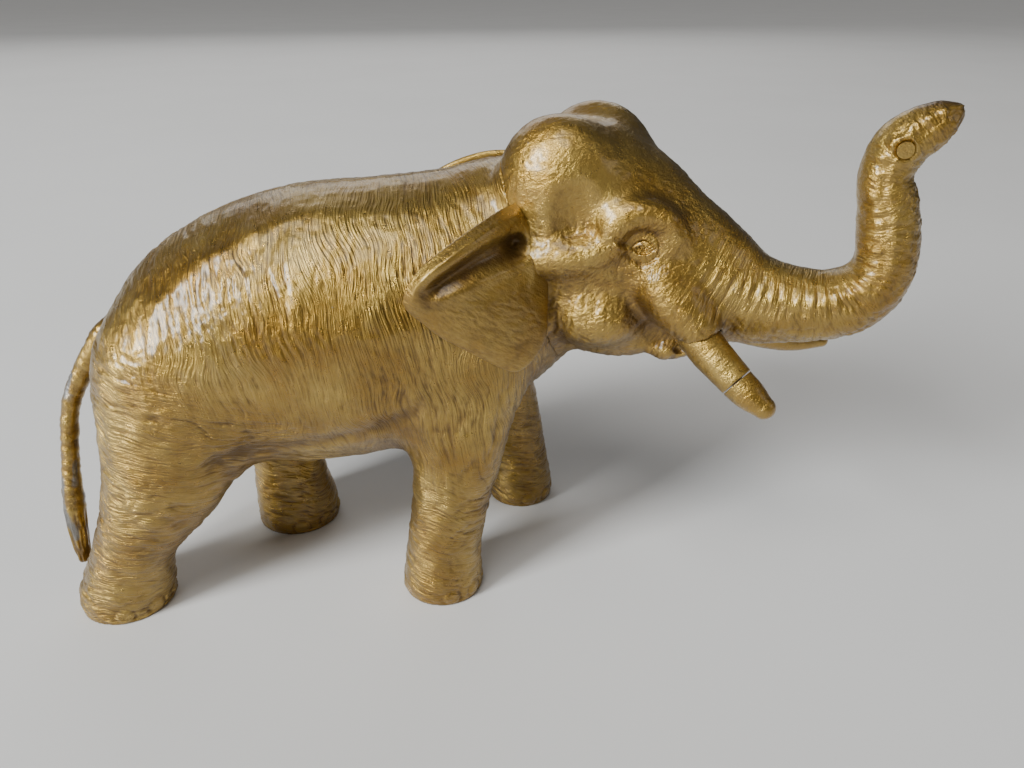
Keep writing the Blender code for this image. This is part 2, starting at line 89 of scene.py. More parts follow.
TRAP_CENTRE = np.array([-20.0, 14.5, 44.0])
TRAP_LEAN = radians(34.0)
TRAP_DOWN = np.array([0.0, -cos(TRAP_LEAN), -sin(TRAP_LEAN)])
TRAP_OUT = np.array([0.0, sin(TRAP_LEAN), -cos(TRAP_LEAN)])
TRAP_HOLE_R = 12.5
TRAP_SEAT_R = 16.0
TRAP_PLATE_R = 15.0
TRAP_SWING = 85
PIVOT_U = -18.0
PIVOT_EYE_R = 4.6
PIVOT_SHANK_R = 1.5
PIVOT_SHANK_LENGTH = 11.0
STOP_PIN_R = 1.2
STOP_PIN_V = -(TRAP_PLATE_R + STOP_PIN_R + GAP)

# x, z, seat of the head, end of the shank
BODY_SCREWS = ((-70.0, 86.0, 13.0, -10.0), (-4.0, 63.0, 18.0, -14.0))
BODY_SHANK_R = 2.0
BODY_HEAD_R = 4.0
BOSS_R = 5.6

# Tubes: x, y, z, radius in the upright plane, radius across it.
TORSO = [
    (-70.6, 0, 67.8, 22.6, 21.5), (-58, 0, 70.2, 32.4, 29), (-40, 0, 73.5, 37.3, 31),
    (-20, 0, 76, 36.6, 30), (0, 0, 82, 32.5, 26), (14, -1, 90, 27.5, 20), (24, -4, 93, 23, 17),
]
HIND_LEGS = [
    [(-73, -14, 65, 20.8, 15), (-79, -18, 44, 16.3, 13.5), (-89, -19, 26, 11.2, 10.8),
     (-94, -18, 15, 11.0, 10.8), (-98.2, -17, 3, 12.9, 12.2)],
    [(-66, 14, 66, 22, 15), (-60, 18, 44, 16, 13.5), (-57, 19, 26, 11.2, 10.8),
     (-56, 18, 15, 11.5, 11), (-55, 17, 3, 13, 12.2)],
]
FRONT_LEGS = [
    [(-1, -15, 80, 19, 12), (-2, -19.5, 56, 14, 11.5), (-5, -21, 34, 11.2, 10.3),
     (-8, -21, 17, 10.5, 10), (-9, -21, 3, 11.6, 11)],
    [(1, 15, 80, 19, 12), (8, 19.5, 56, 13, 11.5), (14, 21, 34, 10.4, 10),
     (17.5, 21.5, 17, 9.8, 9.6), (18.8, 21.5, 3, 10.9, 10.6)],
]
# In the head's frame, which HEAD_TURN swings round HEAD_PIVOT.
TRUNK = [
    (26, 0, 103, 17, 15), (40, 0, 98.2, 18.2, 14.4), (52, 0, 92.6, 16, 12), (64, 0, 88.2, 11.8, 10),
    (78, 0, 87.6, 8.9, 9), (88.5, 0, 90.3, 8, 8.3), (94, 0, 98, 6.9, 7.6), (92.8, 0, 110, 6.5, 6.9),
    (90.4, 0, 119, 5.6, 6), (92.3, 0, 125.6, 5.8, 5.6), (97, 0, 129.6, 4.8, 4.8), (100, 0, 132, 2.5, 3),
]
JAW = [(20, 0, 84, 14, 13), (34, 0, 78.8, 10.5, 10), (46, 0, 77.0, 5, 6)]
SKULL = [
    ((20, -8, 112.5), (15, 10.5, 17)), ((25, 8, 113.5), (15.5, 10.5, 17.0)), ((24, 0, 100), (19, 17.5, 20)),
]
HEAD_HOLLOW = ((28, 0, 103), (15, 12, 16.5))
TUSK_RIGHT = [(50, -7.5, 87, 4.6), (56, -10.5, 81, 4.9), (61, -13, 76.7, 4.6), (66.5, -15.2, 72.7, 4.2)]
TUSK_RIGHT_TIP = [(66.8, -15.3, 72.4, 4.1), (70, -16.6, 70.2, 3.8), (73.5, -17.8, 68.2, 2.7)]
TUSK_LEFT = [(50, 7.5, 86, 4.6), (56, 10.5, 80.5, 4.9), (62, 13, 76, 4.5), (69, 15.2, 73.0, 3.9),
             (78, 17.2, 71, 3.0), (86, 18.6, 71.4, 1.8)]
TAIL = [(-84, 0, 78, 3.2), (-92.0, 0, 75.5, 3.4), (-98.0, -1, 68.5, 3.0), (-105.6, -3, 56, 2.5),
        (-108.4, -7, 40, 2.4), (-109.4, -10.4, 27, 2.9), (-110.2, -12.2, 11.6, 2.0)]
PLUG_R = 1.7
PLUG_DEPTH = 3.0
PLUG_PLACE = (92.3, -5.0, 125.5)

# ---- features that only the looks have -----------------------------------------------
EYE = (41.8, 102.2)         # x, z in the head's frame, on both sides
# Depth, height at the middle, bend and width of each arc over and under the eye's lids.
EYE_ARCS = [
    (0.60, 1.9, -0.24, 0.26), (-0.24, 2.6, -0.20, 0.36), (0.26, -1.10, 0.22, 0.18),
    (0.30, -1.85, 0.20, 0.22), (-0.36, -2.6, 0.18, 0.38), (0.26, -3.6, 0.13, 0.42),
]
# x, z on both flanks
FLANK_CREASE = [(-70, 46), (-58, 51), (-45, 51.5), (-30, 54), (-17, 59), (-9, 66)]
BACK_RIDGE = [(-76, 84), (-70.5, 90.4), (-61, 98), (-49, 104), (-37.5, 107.7), (-28, 109), (-16, 109)]
NAIL_TURNS = [radians(40) * k for k in (-2, -1, 0, 1, 2)]    # round each foot, from its front
SHADE_REACH = 5.0         # how far out from the skin other skin casts painted shade on it
# Near ear's outline in x, z, from the top of the root round the back corner and the lobe.
EAR_EDGE = [
    (13.2, 111.0), (6.8, 109.8), (0.8, 107.5), (-4.9, 104.6), (-10.1, 101.2), (-13.4, 97.0), (-14.6, 91.8),
    (-10.4, 87.2), (-6.9, 83.9), (2.2, 77.8), (7.5, 74.2), (11.3, 72.8), (15.5, 75.2), (18.6, 79.8),
    (19.3, 85.8), (19.6, 91.0), (20.0, 97.0), (18.0, 105.0),
]
EAR_VALLEY = [(12.5, 102.6), (9.8, 101.9), (2.8, 100.6), (-4.1, 98.0), (-9.7, 95.6)]
EAR_FLAP = [(19.0, 97.5), (12.2, 98.4), (2.7, 96.6), (-6.5, 93.5)]
EAR_MIDDLE = np.array([3.5, 92.0])
EAR_HOLE = (11.0, 101.6)
EAR_SHEET = (21.358, -1.28979, -1.27798, 0.01379, 0.01672, 0.00745)    # y over 1, x, z, xx, xz, zz
EAR_GRAIN = radians(-35)
FAR_EAR_SHIFT = (3.0, 0.0, 4.0)
CAP_ANGLES = [radians(a) for a in range(9, 90, 9)]    # of the rings of a tube's round ends

CAMERA_PLACE = (-8.7, -194.8, 157.0)
CAMERA_TILT = radians(28.0)     # down from level
CAMERA_TURN = radians(6.5)      # to its right of straight across the body
SENSOR, LENS = 36.0, 27.03


# ---- small mathematics ------------------------------------------------------------------
def smoothstep(low, high, value):
    t = np.clip((value - low) / (high - low), 0, 1)
    return t * t * (3 - 2 * t)


def bell(value, width):
    return np.exp(-(value / width) ** 2)


def smooth_min(a, b, fillet):
    if fillet <= 0:
        return np.minimum(a, b)
    near = np.maximum(fillet - np.abs(a - b), 0) / fillet
    return np.minimum(a, b) - near * near * fillet / 4


def smooth_max(a, b, fillet):
    return -smooth_min(-a, -b, fillet)


def rows_of(*columns):
    """Columns or single numbers, side by side as rows."""
    return np.stack(np.broadcast_arrays(*columns), -1)


def scaled_to_one(rows, least=1e-6):
    return rows / np.maximum(np.linalg.norm(rows, axis=1, keepdims=True), least)


def runs_of(line):
    """Distance along a line to each of its points."""
    return np.concatenate([[0], np.cumsum(np.linalg.norm(np.diff(line, axis=0), axis=1))])


def turned(points, angle):
    """Points or directions turned about the upright axis."""
    points = np.asarray(points, float)
    x, y, z = points[..., 0], points[..., 1], points[..., 2]
    return rows_of(cos(angle) * x - sin(angle) * y, sin(angle) * x + cos(angle) * y, z)


def turn_upright(points, angle):
    """Points turned in the plane of x and z."""
    x, y, z = points.T
    return rows_of(cos(angle) * x + sin(angle) * z, y, cos(angle) * z - sin(angle) * x)


def from_head(points):
    return turned(points, HEAD_TURN) + HEAD_PIVOT


def to_head(points):
    return turned(np.asarray(points, float) - HEAD_PIVOT, -HEAD_TURN)


def smooth_rows(rows, steps):
    """A smooth curve through rows of numbers, ends included."""
    rows = np.array(rows, float)
    padded = np.vstack([2 * rows[0] - rows[1], rows, 2 * rows[-1] - rows[-2]])
    curve = []
    for i in range(len(rows) - 1):
        a, b, c, d = padded[i:i + 4]
        for t in np.linspace(0, 1, steps, endpoint=False):
            cubic = (-a + 3 * b - 3 * c + d) * t ** 3 + (2 * a - 5 * b + 4 * c - d) * t ** 2
            curve.append(0.5 * (cubic + (c - a) * t + 2 * b))
    curve.append(rows[-1])
    return np.array(curve)


def nearest(points, line):
    """Where points in a plane lie to a line: distance from it, share and run along it, step to its left."""
    line = np.array(line, float)
    runs = runs_of(line)
    best = np.full(len(points), FAR)
    share, run, left = np.zeros((3, len(points)))
    for i, (a, b) in enumerate(zip(line, line[1:])):
        length = runs[i + 1] - runs[i]
        along = (b - a) / length
        t = np.clip((points - a) @ along, 0, length)
        offset = points - a - t[:, None] * along
        distance = np.linalg.norm(offset, axis=1)
        closer = distance < best
        share = np.where(closer, (i + t / length) / (len(line) - 1), share)
        run = np.where(closer, runs[i] + t, run)
        left = np.where(closer, offset @ np.array([-along[1], along[0]]), left)
        best = np.minimum(best, distance)
    return best, share, run, left


def corner_shares(part):
    """Each corner of a cell, with its share in points at the given parts of the cell's sides."""
    for corner in CORNERS:
        yield corner, np.prod(np.where(corner, part, 1 - part), axis=1)


def noise(points, seed):
    """Smooth values from -1 to 1 at each point, changing over about one unit."""
    cell = np.floor(points).astype(np.int64)
    part = points - cell
    part = part ** 3 * (part * (part * 6 - 15) + 10)
    total = np.zeros(len(points))
    for corner, share in corner_shares(part):
        key = (cell + corner) @ np.array([73856093, 19349663, 83492791]) + seed * 7919
        key = (key * 2654435761) & 0xFFFFFFFF
        key = ((key ^ (key >> 15)) * 2246822519) & 0xFFFFFFFF
        total += (((key >> 12) & 0xFFFF) / 32767.5 - 1) * share
    return total


def wander(points, scales, seed):
    """A slow drift in x, y and z."""
    return rows_of(*(noise(points / scale, seed + i) for i, scale in enumerate(scales)))


def creases(points, scale, seed, width=0.3):
    """Fine valleys, 0 to 1, about a scale apart: a long scale on an axis draws them out along it."""
    cells = points / np.array(scale, float)
    value = noise(cells, seed) + 0.45 * noise(cells * 2.1, seed + 50)
    return bell(value, width)


# ---- the field --------------------------------------------------------------------------
def is_empty(window):
    return min(part.stop - part.start for part in window) <= 0


class Field:
    """Distances to a surface on a regular grid, negative inside."""

    def __init__(self, low, high, cell):
        self.low = np.array(low, float)
        self.cell = cell
        self.count = np.ceil((np.array(high) - self.low) / cell).astype(int) + 1
        self.axes = [(start + cell * np.arange(n)).astype(np.float32)
                     for start, n in zip(self.low, self.count)]
        self.d = np.full(self.count, FAR, np.float32)

    def window(self, low, high):
        first = np.clip(np.floor((np.array(low) - self.low) / self.cell).astype(int), 0, self.count)
        last = np.clip(np.ceil((np.array(high) - self.low) / self.cell).astype(int) + 1, 0, self.count)
        return tuple(slice(a, b) for a, b in zip(first, last))

    def grid(self, window):
        x, y, z = (axis[part] for axis, part in zip(self.axes, window))
        return x[:, None, None], y[None, :, None], z[None, None, :]

    def blend(self, window, distance, fillet, carve):
        old = self.d[window]
        self.d[window] = smooth_max(old, -distance, fillet) if carve else smooth_min(old, distance, fillet)

    def change(self, shape, low, high, fillet=0.0, carve=False):
        """Join a shape, a function of x, y and z that gives distances, or take it away."""
        margin = fillet + 2 * self.cell
        window = self.window(np.array(low) - margin, np.array(high) + margin)
        if not is_empty(window):
            self.blend(window, np.asarray(shape(*self.grid(window)), np.float32), fillet, carve)

    def cut(self, normal, offset):
        """Keep what lies behind a plane."""
        x, y, z = self.grid(tuple(slice(0, n) for n in self.count))
        distance = x * normal[0] + y * normal[1] + z * normal[2] - offset
        self.d = np.maximum(self.d, distance.astype(np.float32))

    def ellipsoid(self, centre, radii, fillet=0.0, carve=False, mirror=False):
        """An ellipsoid in the head's frame."""
        axes = turned(np.eye(3), HEAD_TURN).T
        reach = np.sqrt(((axes * radii) ** 2).sum(1))
        for flip in (1, -1) if mirror else (1,):
            middle = from_head(np.array(centre, float) * [1, flip, 1])

            def shape(x, y, z, middle=middle):
                step = (x - middle[0], y - middle[1], z - middle[2])
                local = [sum(part * share for part, share in zip(step, axis)) for axis in axes.T]
                k0 = np.sqrt(sum((v / r) ** 2 for v, r in zip(local, radii)))
                k1 = np.sqrt(sum((v / r ** 2) ** 2 for v, r in zip(local, radii)))
                return k0 * (k0 - 1) / np.maximum(k1, 1e-6)

            self.change(shape, middle - reach, middle + reach, fillet, carve)

    def tube(self, stations, fillet=0.0, carve=False, head=False, mirror=False, grow=0.0):
        """A swept ellipse: stations are x, y, z, upright radius and, if it differs, radius across."""
        rows = np.array(stations, float)
        if rows.shape[1] == 4:
            rows = np.hstack([rows, rows[:, 3:]])
        if mirror:
            self.tube(rows * [1, -1, 1, 1, 1], fillet, carve, head, False, grow)
        curve = smooth_rows(rows, 5)
        places = from_head(curve[:, :3]) if head else curve[:, :3]
        radii = curve[:, 3:] + grow
        side = turned((0, 1, 0), HEAD_TURN if head else 0)
        reach = radii.max(1)[:, None]
        margin = fillet + 2 * self.cell
        whole = self.window((places - reach).min(0) - margin, (places + reach).max(0) + margin)
        if is_empty(whole):
            return
        total = np.full([part.stop - part.start for part in whole], FAR, np.float32)
        for a, b, ra, rb in zip(places, places[1:], radii, radii[1:]):
            size = max(ra.max(), rb.max()) + margin
            window = self.window(np.minimum(a, b) - size, np.maximum(a, b) + size)
            window = tuple(slice(max(w.start, o.start), min(w.stop, o.stop)) for w, o in zip(window, whole))
            if is_empty(window):
                continue
            distance = segment_distance(*self.grid(window), a, b, ra, rb, side)
            inner = tuple(slice(w.start - o.start, w.stop - o.start) for w, o in zip(window, whole))
            total[inner] = np.minimum(total[inner], distance)
        self.blend(whole, total, fillet, carve)

    def rod(self, start, end, radius, fillet=0.0, carve=False):
        """A cylinder with flat ends."""
        start, end = np.array(start, float), np.array(end, float)
        along = (end - start) / np.linalg.norm(end - start)
        half = np.linalg.norm(end - start) / 2
        middle = (start + end) / 2

        def shape(x, y, z):
            rx, ry, rz = x - middle[0], y - middle[1], z - middle[2]
            t = rx * along[0] + ry * along[1] + rz * along[2]
            across = np.sqrt(np.maximum(rx * rx + ry * ry + rz * rz - t * t, 0))
            return np.maximum(across - radius, np.abs(t) - half)

        self.change(shape, np.minimum(start, end) - radius, np.maximum(start, end) + radius, fillet, carve)

    def sample(self, points, values):
        """Values between the grid's points."""
        place = (points - self.low) / self.cell
        cell = np.clip(np.floor(place).astype(int), 0, self.count - 2)
        part = np.clip(place - cell, 0, 1)
        return sum(values[tuple((cell + corner).T)] * share for corner, share in corner_shares(part))

    def slope(self, points, values):
        """Unit direction in which the distance grows."""
        steps = np.eye(3) * self.cell * 0.7
        change = [self.sample(points + step, values) - self.sample(points - step, values) for step in steps]
        return scaled_to_one(np.stack(change, -1), 1e-9)


def segment_distance(x, y, z, a, b, ra, rb, side):
    """Distance to one stretch of a swept ellipse."""
    along = b - a
    px, py, pz = x - a[0], y - a[1], z - a[2]
    t = np.clip((px * along[0] + py * along[1] + pz * along[2]) / (along @ along + 1e-9), 0, 1)
    qx, qy, qz = px - t * along[0], py - t * along[1], pz - t * along[2]
    w = qx * side[0] + qy * side[1] + qz * side[2]
    v2 = np.maximum(qx * qx + qy * qy + qz * qz - w * w, 0)
    r_up = ra[0] + (rb[0] - ra[0]) * t
    r_side = ra[1] + (rb[1] - ra[1]) * t
    k0 = np.sqrt(v2 / r_up ** 2 + w * w / r_side ** 2)
    k1 = np.sqrt(v2 / r_up ** 4 + w * w / r_side ** 4)
    return np.where(k0 > 1e-4, k0 * (k0 - 1) / np.maximum(k1, 1e-9), -np.minimum(r_up, r_side))


def nets(field, sharp_planes=()):
    """Vertices and quads of the zero surface: one vertex to each cell that it crosses.
    A vertex in a cell where a plane cuts the skin is drawn onto the edge between them."""
    inside = field.d < 0
    n = field.count - 1
    total = sum(inside[a:a + n[0], b:b + n[1], c:c + n[2]].astype(np.int8) for a, b, c in CORNERS)
    cells = np.argwhere((total > 0) & (total < 8))
    values = at_corners(field.d, cells)
    place, crossings = np.zeros((len(cells), 3)), np.zeros(len(cells))
    for i, j in product(range(8), repeat=2):
        a, b = np.array(CORNERS[i]), np.array(CORNERS[j])
        if j > i and np.abs(a - b).sum() == 1:
            crossed = (values[:, i] < 0) != (values[:, j] < 0)
            t = np.where(crossed, values[:, i] / np.where(crossed, values[:, i] - values[:, j], 1), 0)
            place += np.where(crossed[:, None], a + (b - a) * t[:, None], 0)
            crossings += crossed
    vertices = field.low + (cells + place / crossings[:, None]) * field.cell
    index = np.full(n, -1, np.int32)
    index[tuple(cells.T)] = np.arange(len(cells))
    quads = []
    for axis in range(3):
        second, third = (axis + 1) % 3, (axis + 2) % 3
        step = np.eye(3, dtype=int)[axis]
        low = inside[tuple(slice(0, size - s) for size, s in zip(inside.shape, step))]
        high = inside[tuple(slice(s, None) for s in step)]
        edges = np.argwhere(low != high)
        across = edges[:, [second, third]]
        edges = edges[np.all((across > 0) & (across < n[[second, third]]), axis=1)]
        outward = low[tuple(edges.T)]
        ring = []
        for b, c in ((-1, -1), (0, -1), (0, 0), (-1, 0)):
            shift = np.zeros(3, int)
            shift[second], shift[third] = b, c
            ring.append(index[tuple((edges + shift).T)])
        ring = np.stack(ring, 1)
        quads.append(np.where(outward[:, None], ring, ring[:, ::-1]))
    for form, normal, offset in sharp_planes:
        vertices = sharpen(field, vertices, cells, form, normal, offset)
    return vertices, np.vstack(quads)


def at_corners(values, cells):
    """The grid's values at the corners of each cell."""
    return np.stack([values[tuple((cells + corner).T)] for corner in CORNERS], 1)


def is_crossed(values):
    return (values.min(1) < 0) & (values.max(1) > 0)


def sharpen(field, vertices, cells, form, normal, offset):
    """Draw the vertices of cells that both the plane and the uncut surface cross onto the edge."""
    mixed = (np.abs(vertices @ normal - offset) < field.cell) & is_crossed(at_corners(form, cells))
    corners = np.stack([(field.low + (cells[mixed] + corner) * field.cell) @ normal - offset
                        for corner in CORNERS], 1)
    chosen = np.flatnonzero(mixed)[is_crossed(corners)]
    points = vertices[chosen]
    for _ in range(5):
        points = points - field.slope(points, form) * field.sample(points, form)[:, None]
        points = points - normal * (points @ normal - offset)[:, None]
    moved = np.linalg.norm(points - vertices[chosen], axis=1) < field.cell
    vertices[chosen[moved]] = points[moved]
    return vertices


# ---- the animal -------------------------------------------------------------------------
def shape_body(field):
    field.tube(TORSO, fillet=4)
    for leg in HIND_LEGS:
        field.tube(leg, fillet=9)
    for leg in FRONT_LEGS:
        field.tube(leg, fillet=8)


def shape_head(field):
    field.tube(TRUNK, head=True, fillet=5)
    field.tube(JAW, head=True, fillet=4)
    for centre, radii in SKULL:
        field.ellipsoid(centre, radii, fillet=5)
    shape_face(field)


def shape_face(field):
    """The head's smaller forms, in its frame, each on both sides unless it lies in the middle."""
    both = {"head": True, "mirror": True}
    # hollow of the temple, between the dome and the brow
    field.ellipsoid((29.0, -20.6, 108.2), (7, 6.0, 8.4), fillet=4, carve=True, mirror=True)
    # forehead, between the domes and the trunk
    field.ellipsoid((39, 2.5, 111.0), (8.5, 8, 8), fillet=7)
    field.ellipsoid((31, -1.5, 110.5), (11, 10.5, 11.5), fillet=7)
    field.ellipsoid((24, 0, 113), (13, 8, 15.2), fillet=6)
    # groove between the domes
    field.ellipsoid((22, 0, 133), (12, 3.0, 4), fillet=6, carve=True)
    # brow
    field.tube([(34.2, -14.4, 102.8, 2.2), (35.4, -14.0, 106.4, 3.5), (38.8, -13.4, 109.0, 3.4),
                (43, -12.6, 109.8, 2.9), (47, -11.9, 108.2, 2.4), (49.0, -11.2, 104.8, 1.6)],
               fillet=4.5, **both)
    # socket of the eye
    field.ellipsoid((42.0, -17.6, 102.0), (5.0, 5.4, 4.6), fillet=1.4, carve=True, mirror=True)
    # cheekbone, from the ear to behind the eye
    field.tube([(13, -16.2, 96.5, 3.6), (21, -16.6, 98.3, 3.7), (29, -15.6, 100.0, 3.5),
                (34.5, -13.8, 102.0, 2.4)], fillet=3, **both)
    # jaw muscle and the fold behind the mouth
    field.ellipsoid((30.5, -9.8, 83.0), (11.5, 8.0, 8.0), fillet=4, mirror=True)
    field.tube([(37.5, -17.2, 97, 1.5), (40.4, -16.8, 91.5, 1.7), (43.0, -15.4, 85.5, 1.6)], fillet=3,
               carve=True, **both)
    # pad over the root of the tusk
    field.tube([(46.8, -10.0, 92.0, 6.4), (51.0, -10.6, 88.0, 6.7), (55.4, -11.2, 84.2, 5.8)],
               fillet=3, **both)
    # lower lip
    field.tube([(43.0, 0, 74.8, 3.6, 7.0), (48.0, 0, 73.8, 4.2, 7.6), (52.8, 0, 75.0, 3.8, 6.4)],
               fillet=1.2, head=True)
    field.ellipsoid((53.0, -6.6, 74.6), (2.3, 1.6, 1.4), fillet=0.8, carve=True, mirror=True)
    # nostrils in the end of the trunk
    field.ellipsoid((100.6, -1.5, 128.6), (2.2, 0.9, 1.3), fillet=0.6, carve=True, mirror=True)


def trap_point(u, v, out):
    return TRAP_CENTRE + np.array([u, 0.0, 0.0]) + TRAP_DOWN * v + TRAP_OUT * out


def trap_rod(field, u, v, inner, outer, radius, **how):
    field.rod(trap_point(u, v, inner), trap_point(u, v, outer), radius, **how)


def shape_trap_seat(field):
    """The flat seat, with the room that the plate and its eye sweep cut flush with it."""
    trap_rod(field, 0, 0, -6, 1, TRAP_SEAT_R, fillet=1.0)
    trap_rod(field, PIVOT_U, 0, -5, 0.8, PIVOT_EYE_R + 0.4, fillet=1.0)
    trap_rod(field, 0, STOP_PIN_V, -6.5, 0.6, STOP_PIN_R + 1.6, fillet=1.0)
    discs = [(PIVOT_U, 0, PIVOT_EYE_R + 0.8)]
    for degrees in range(0, TRAP_SWING + 1, 5):
        turn = radians(degrees)
        discs.append((PIVOT_U - PIVOT_U * cos(turn), -PIVOT_U * sin(turn), TRAP_PLATE_R + 1.1))

    def room(x, y, z):
        u = x - TRAP_CENTRE[0]
        ry, rz = y - TRAP_CENTRE[1], z - TRAP_CENTRE[2]
        v = ry * TRAP_DOWN[1] + rz * TRAP_DOWN[2]
        out = ry * TRAP_OUT[1] + rz * TRAP_OUT[2]
        flat = reduce(np.minimum, [np.hypot(u - du, v - dv) - r for du, dv, r in discs])
        return np.maximum(flat, np.abs(out - 3.5) - 3.5)

    field.change(room, TRAP_CENTRE - 40, TRAP_CENTRE + 40, carve=True)


def neck_point(along):
    return NECK_CENTRE + NECK_NORMAL * along


def money_chamber(field):
    """The hollow of the body as a field of its own, with the bosses left standing in it."""
    hollow = Field(field.low, field.low + (field.count - 1) * field.cell, field.cell)
    hollow.tube(TORSO[:-1], grow=-WALL)
    hollow.cut(NECK_NORMAL, neck_point(-COLLAR) @ NECK_NORMAL)
    hollow.rod(neck_point(-COLLAR - 9), neck_point(-COLLAR), FLANGE_R + 0.6)
    for x, z, _, _ in BODY_SCREWS:
        hollow.rod((x, -40, z), (x, 40, z), BOSS_R, fillet=1, carve=True)
    trap_rod(hollow, PIVOT_U, 0, -PIVOT_SHANK_LENGTH - 3, 6, PIVOT_SHANK_R + 3, fillet=1, carve=True)
    return hollow.d


def hollow_body(field):
    field.d = np.maximum(field.d, -money_chamber(field))
    field.rod(neck_point(-COLLAR - 3), neck_point(5), SPIGOT_R + GAP, carve=True)
    field.tube(TAIL, carve=True, grow=GAP)
    for x, z, seat, tip in BODY_SCREWS:
        field.rod((x, tip - 1, z), (x, 60, z), BODY_SHANK_R + GAP, carve=True)
        field.rod((x, seat, z), (x, 60, z), BODY_HEAD_R + 0.5, carve=True)
    trap_rod(field, 0, 0, -9, 6, TRAP_HOLE_R, carve=True)
    trap_rod(field, 0, STOP_PIN_V, -4.5, 5, STOP_PIN_R + GAP, carve=True)
    trap_rod(field, PIVOT_U, 0, -PIVOT_SHANK_LENGTH - 1, 5, PIVOT_SHANK_R + GAP, carve=True)

    def money_slot(x, y, z):
        ry, rz = y - SLOT_CENTRE[1], z - SLOT_CENTRE[2]
        across = ry * cos(SLOT_LEAN) + rz * sin(SLOT_LEAN)
        up = rz * cos(SLOT_LEAN) - ry * sin(SLOT_LEAN)
        sides = (np.abs(x - SLOT_CENTRE[0]), np.abs(across), np.abs(up))
        return reduce(np.maximum, [part - size / 2 for part, size in zip(sides, SLOT_SIZE)])

    reach = np.array([16, 9, 17])
    field.change(money_slot, SLOT_CENTRE - reach, SLOT_CENTRE + reach, fillet=0.4, carve=True)


# ---- relief of the skin: heights in millimetres, negative in a crease ---------------------
def leg_share(points):
    """1 on the legs and the thigh, where the wrinkles lie level, and 0 on the barrel."""
    x, _, z = points.T
    hind = 1 - smoothstep(58, 84, z + 0.55 * (x + 70))
    front = 1 - smoothstep(34, 52, z)
    return hind + (front - hind) * smoothstep(-44, -28, x)


def body_relief(points):
    """Upright wrinkles on the barrel, level ones round the legs, creases at the joints."""
    x, _, z = points.T
    warped = points + 2.2 * wander(points, (11, 9, 10), 3)
    leg = leg_share(points)
    back = smoothstep(96, 106, z)
    lean = warped + rows_of(0.16 * (z - 70), 0, 0)
    upright = creases(lean, (1.75, 14, 16), 1, 0.30)
    hair = creases(lean, (0.9, 7, 7), 9, 0.40)
    level = creases(warped + rows_of(0, 0, 0.25 * x), (10, 10, 1.5), 2, 0.36)
    folds = creases(warped, (14, 14, 4.6), 8, 0.16)
    wavy = creases(warped, (2.6, 7, 10), 6, 0.3)
    knee = bell(z - 36, 9)
    shoulder = bell(x + 2, 14) * smoothstep(30, 42, z) * (1 - smoothstep(62, 76, z))
    strength = 0.75 + 0.5 * noise(points / 14, 12)
    height = -(1 - leg) * (1 - 0.55 * back) * (0.25 * upright + 0.13 * hair) * strength
    height -= leg * (0.38 * level + 0.30 * folds) * strength
    height -= shoulder * 0.45 * wavy
    height += leg * (0.30 * knee * noise(points / 5, 14) + 0.22 * noise(points / 3.6, 17))
    height += 0.18 * noise(points / 5.5, 15) + 0.08 * noise(points / 1.5, 16)
    ridge, share, _, _ = nearest(rows_of(x, z), BACK_RIDGE)
    height += 0.55 * bell(ridge, 1.7) * smoothstep(0, 0.2, share) * (1 - smoothstep(0.7, 1, share))
    crease, share, _, _ = nearest(rows_of(x, z), FLANK_CREASE)
    height -= 0.75 * bell(crease, 2.3) * smoothstep(0, 0.12, share) * (1 - smoothstep(0.86, 1, share))
    return height + toenails(points)


def toenails(points):
    """Arched nails round the front and the sides of each foot."""
    height = np.zeros(len(points))
    for leg in HIND_LEGS + FRONT_LEGS:
        x, y, _, r_up, r_side = leg[-1]
        offset = points[:, :2] - (x, y)
        angle = np.arctan2(offset[:, 1] / r_side, offset[:, 0] / r_up)
        near = (np.hypot(*offset.T) < 1.35 * r_up) & (points[:, 2] < 16)
        for turn in NAIL_TURNS:
            along = (np.mod(angle - turn + np.pi, tau) - np.pi) * r_up
            reach = np.hypot(along / 2.7, (points[:, 2] - 2.2) / 2.5)
            height += near * (0.24 * (1 - smoothstep(0.6, 0.95, reach)) - 0.38 * bell(reach - 1.05, 0.16))
            reach = np.hypot(along / 3.6, (points[:, 2] - 2.2) / 3.4)
            height -= near * 0.10 * bell(reach - 1.05, 0.12) * (points[:, 2] > 2.2)
    return height


TRUNK_LINE = smooth_rows(TRUNK, 12)


def trunk_place(local):
    """Distance along the trunk, and how far up its back from the side plane, in degrees."""
    _, _, run, climb = nearest(local[:, [0, 2]], TRUNK_LINE[:, [0, 2]])
    return run, np.degrees(np.arctan2(climb, np.abs(local[:, 1]) + 1e-6))


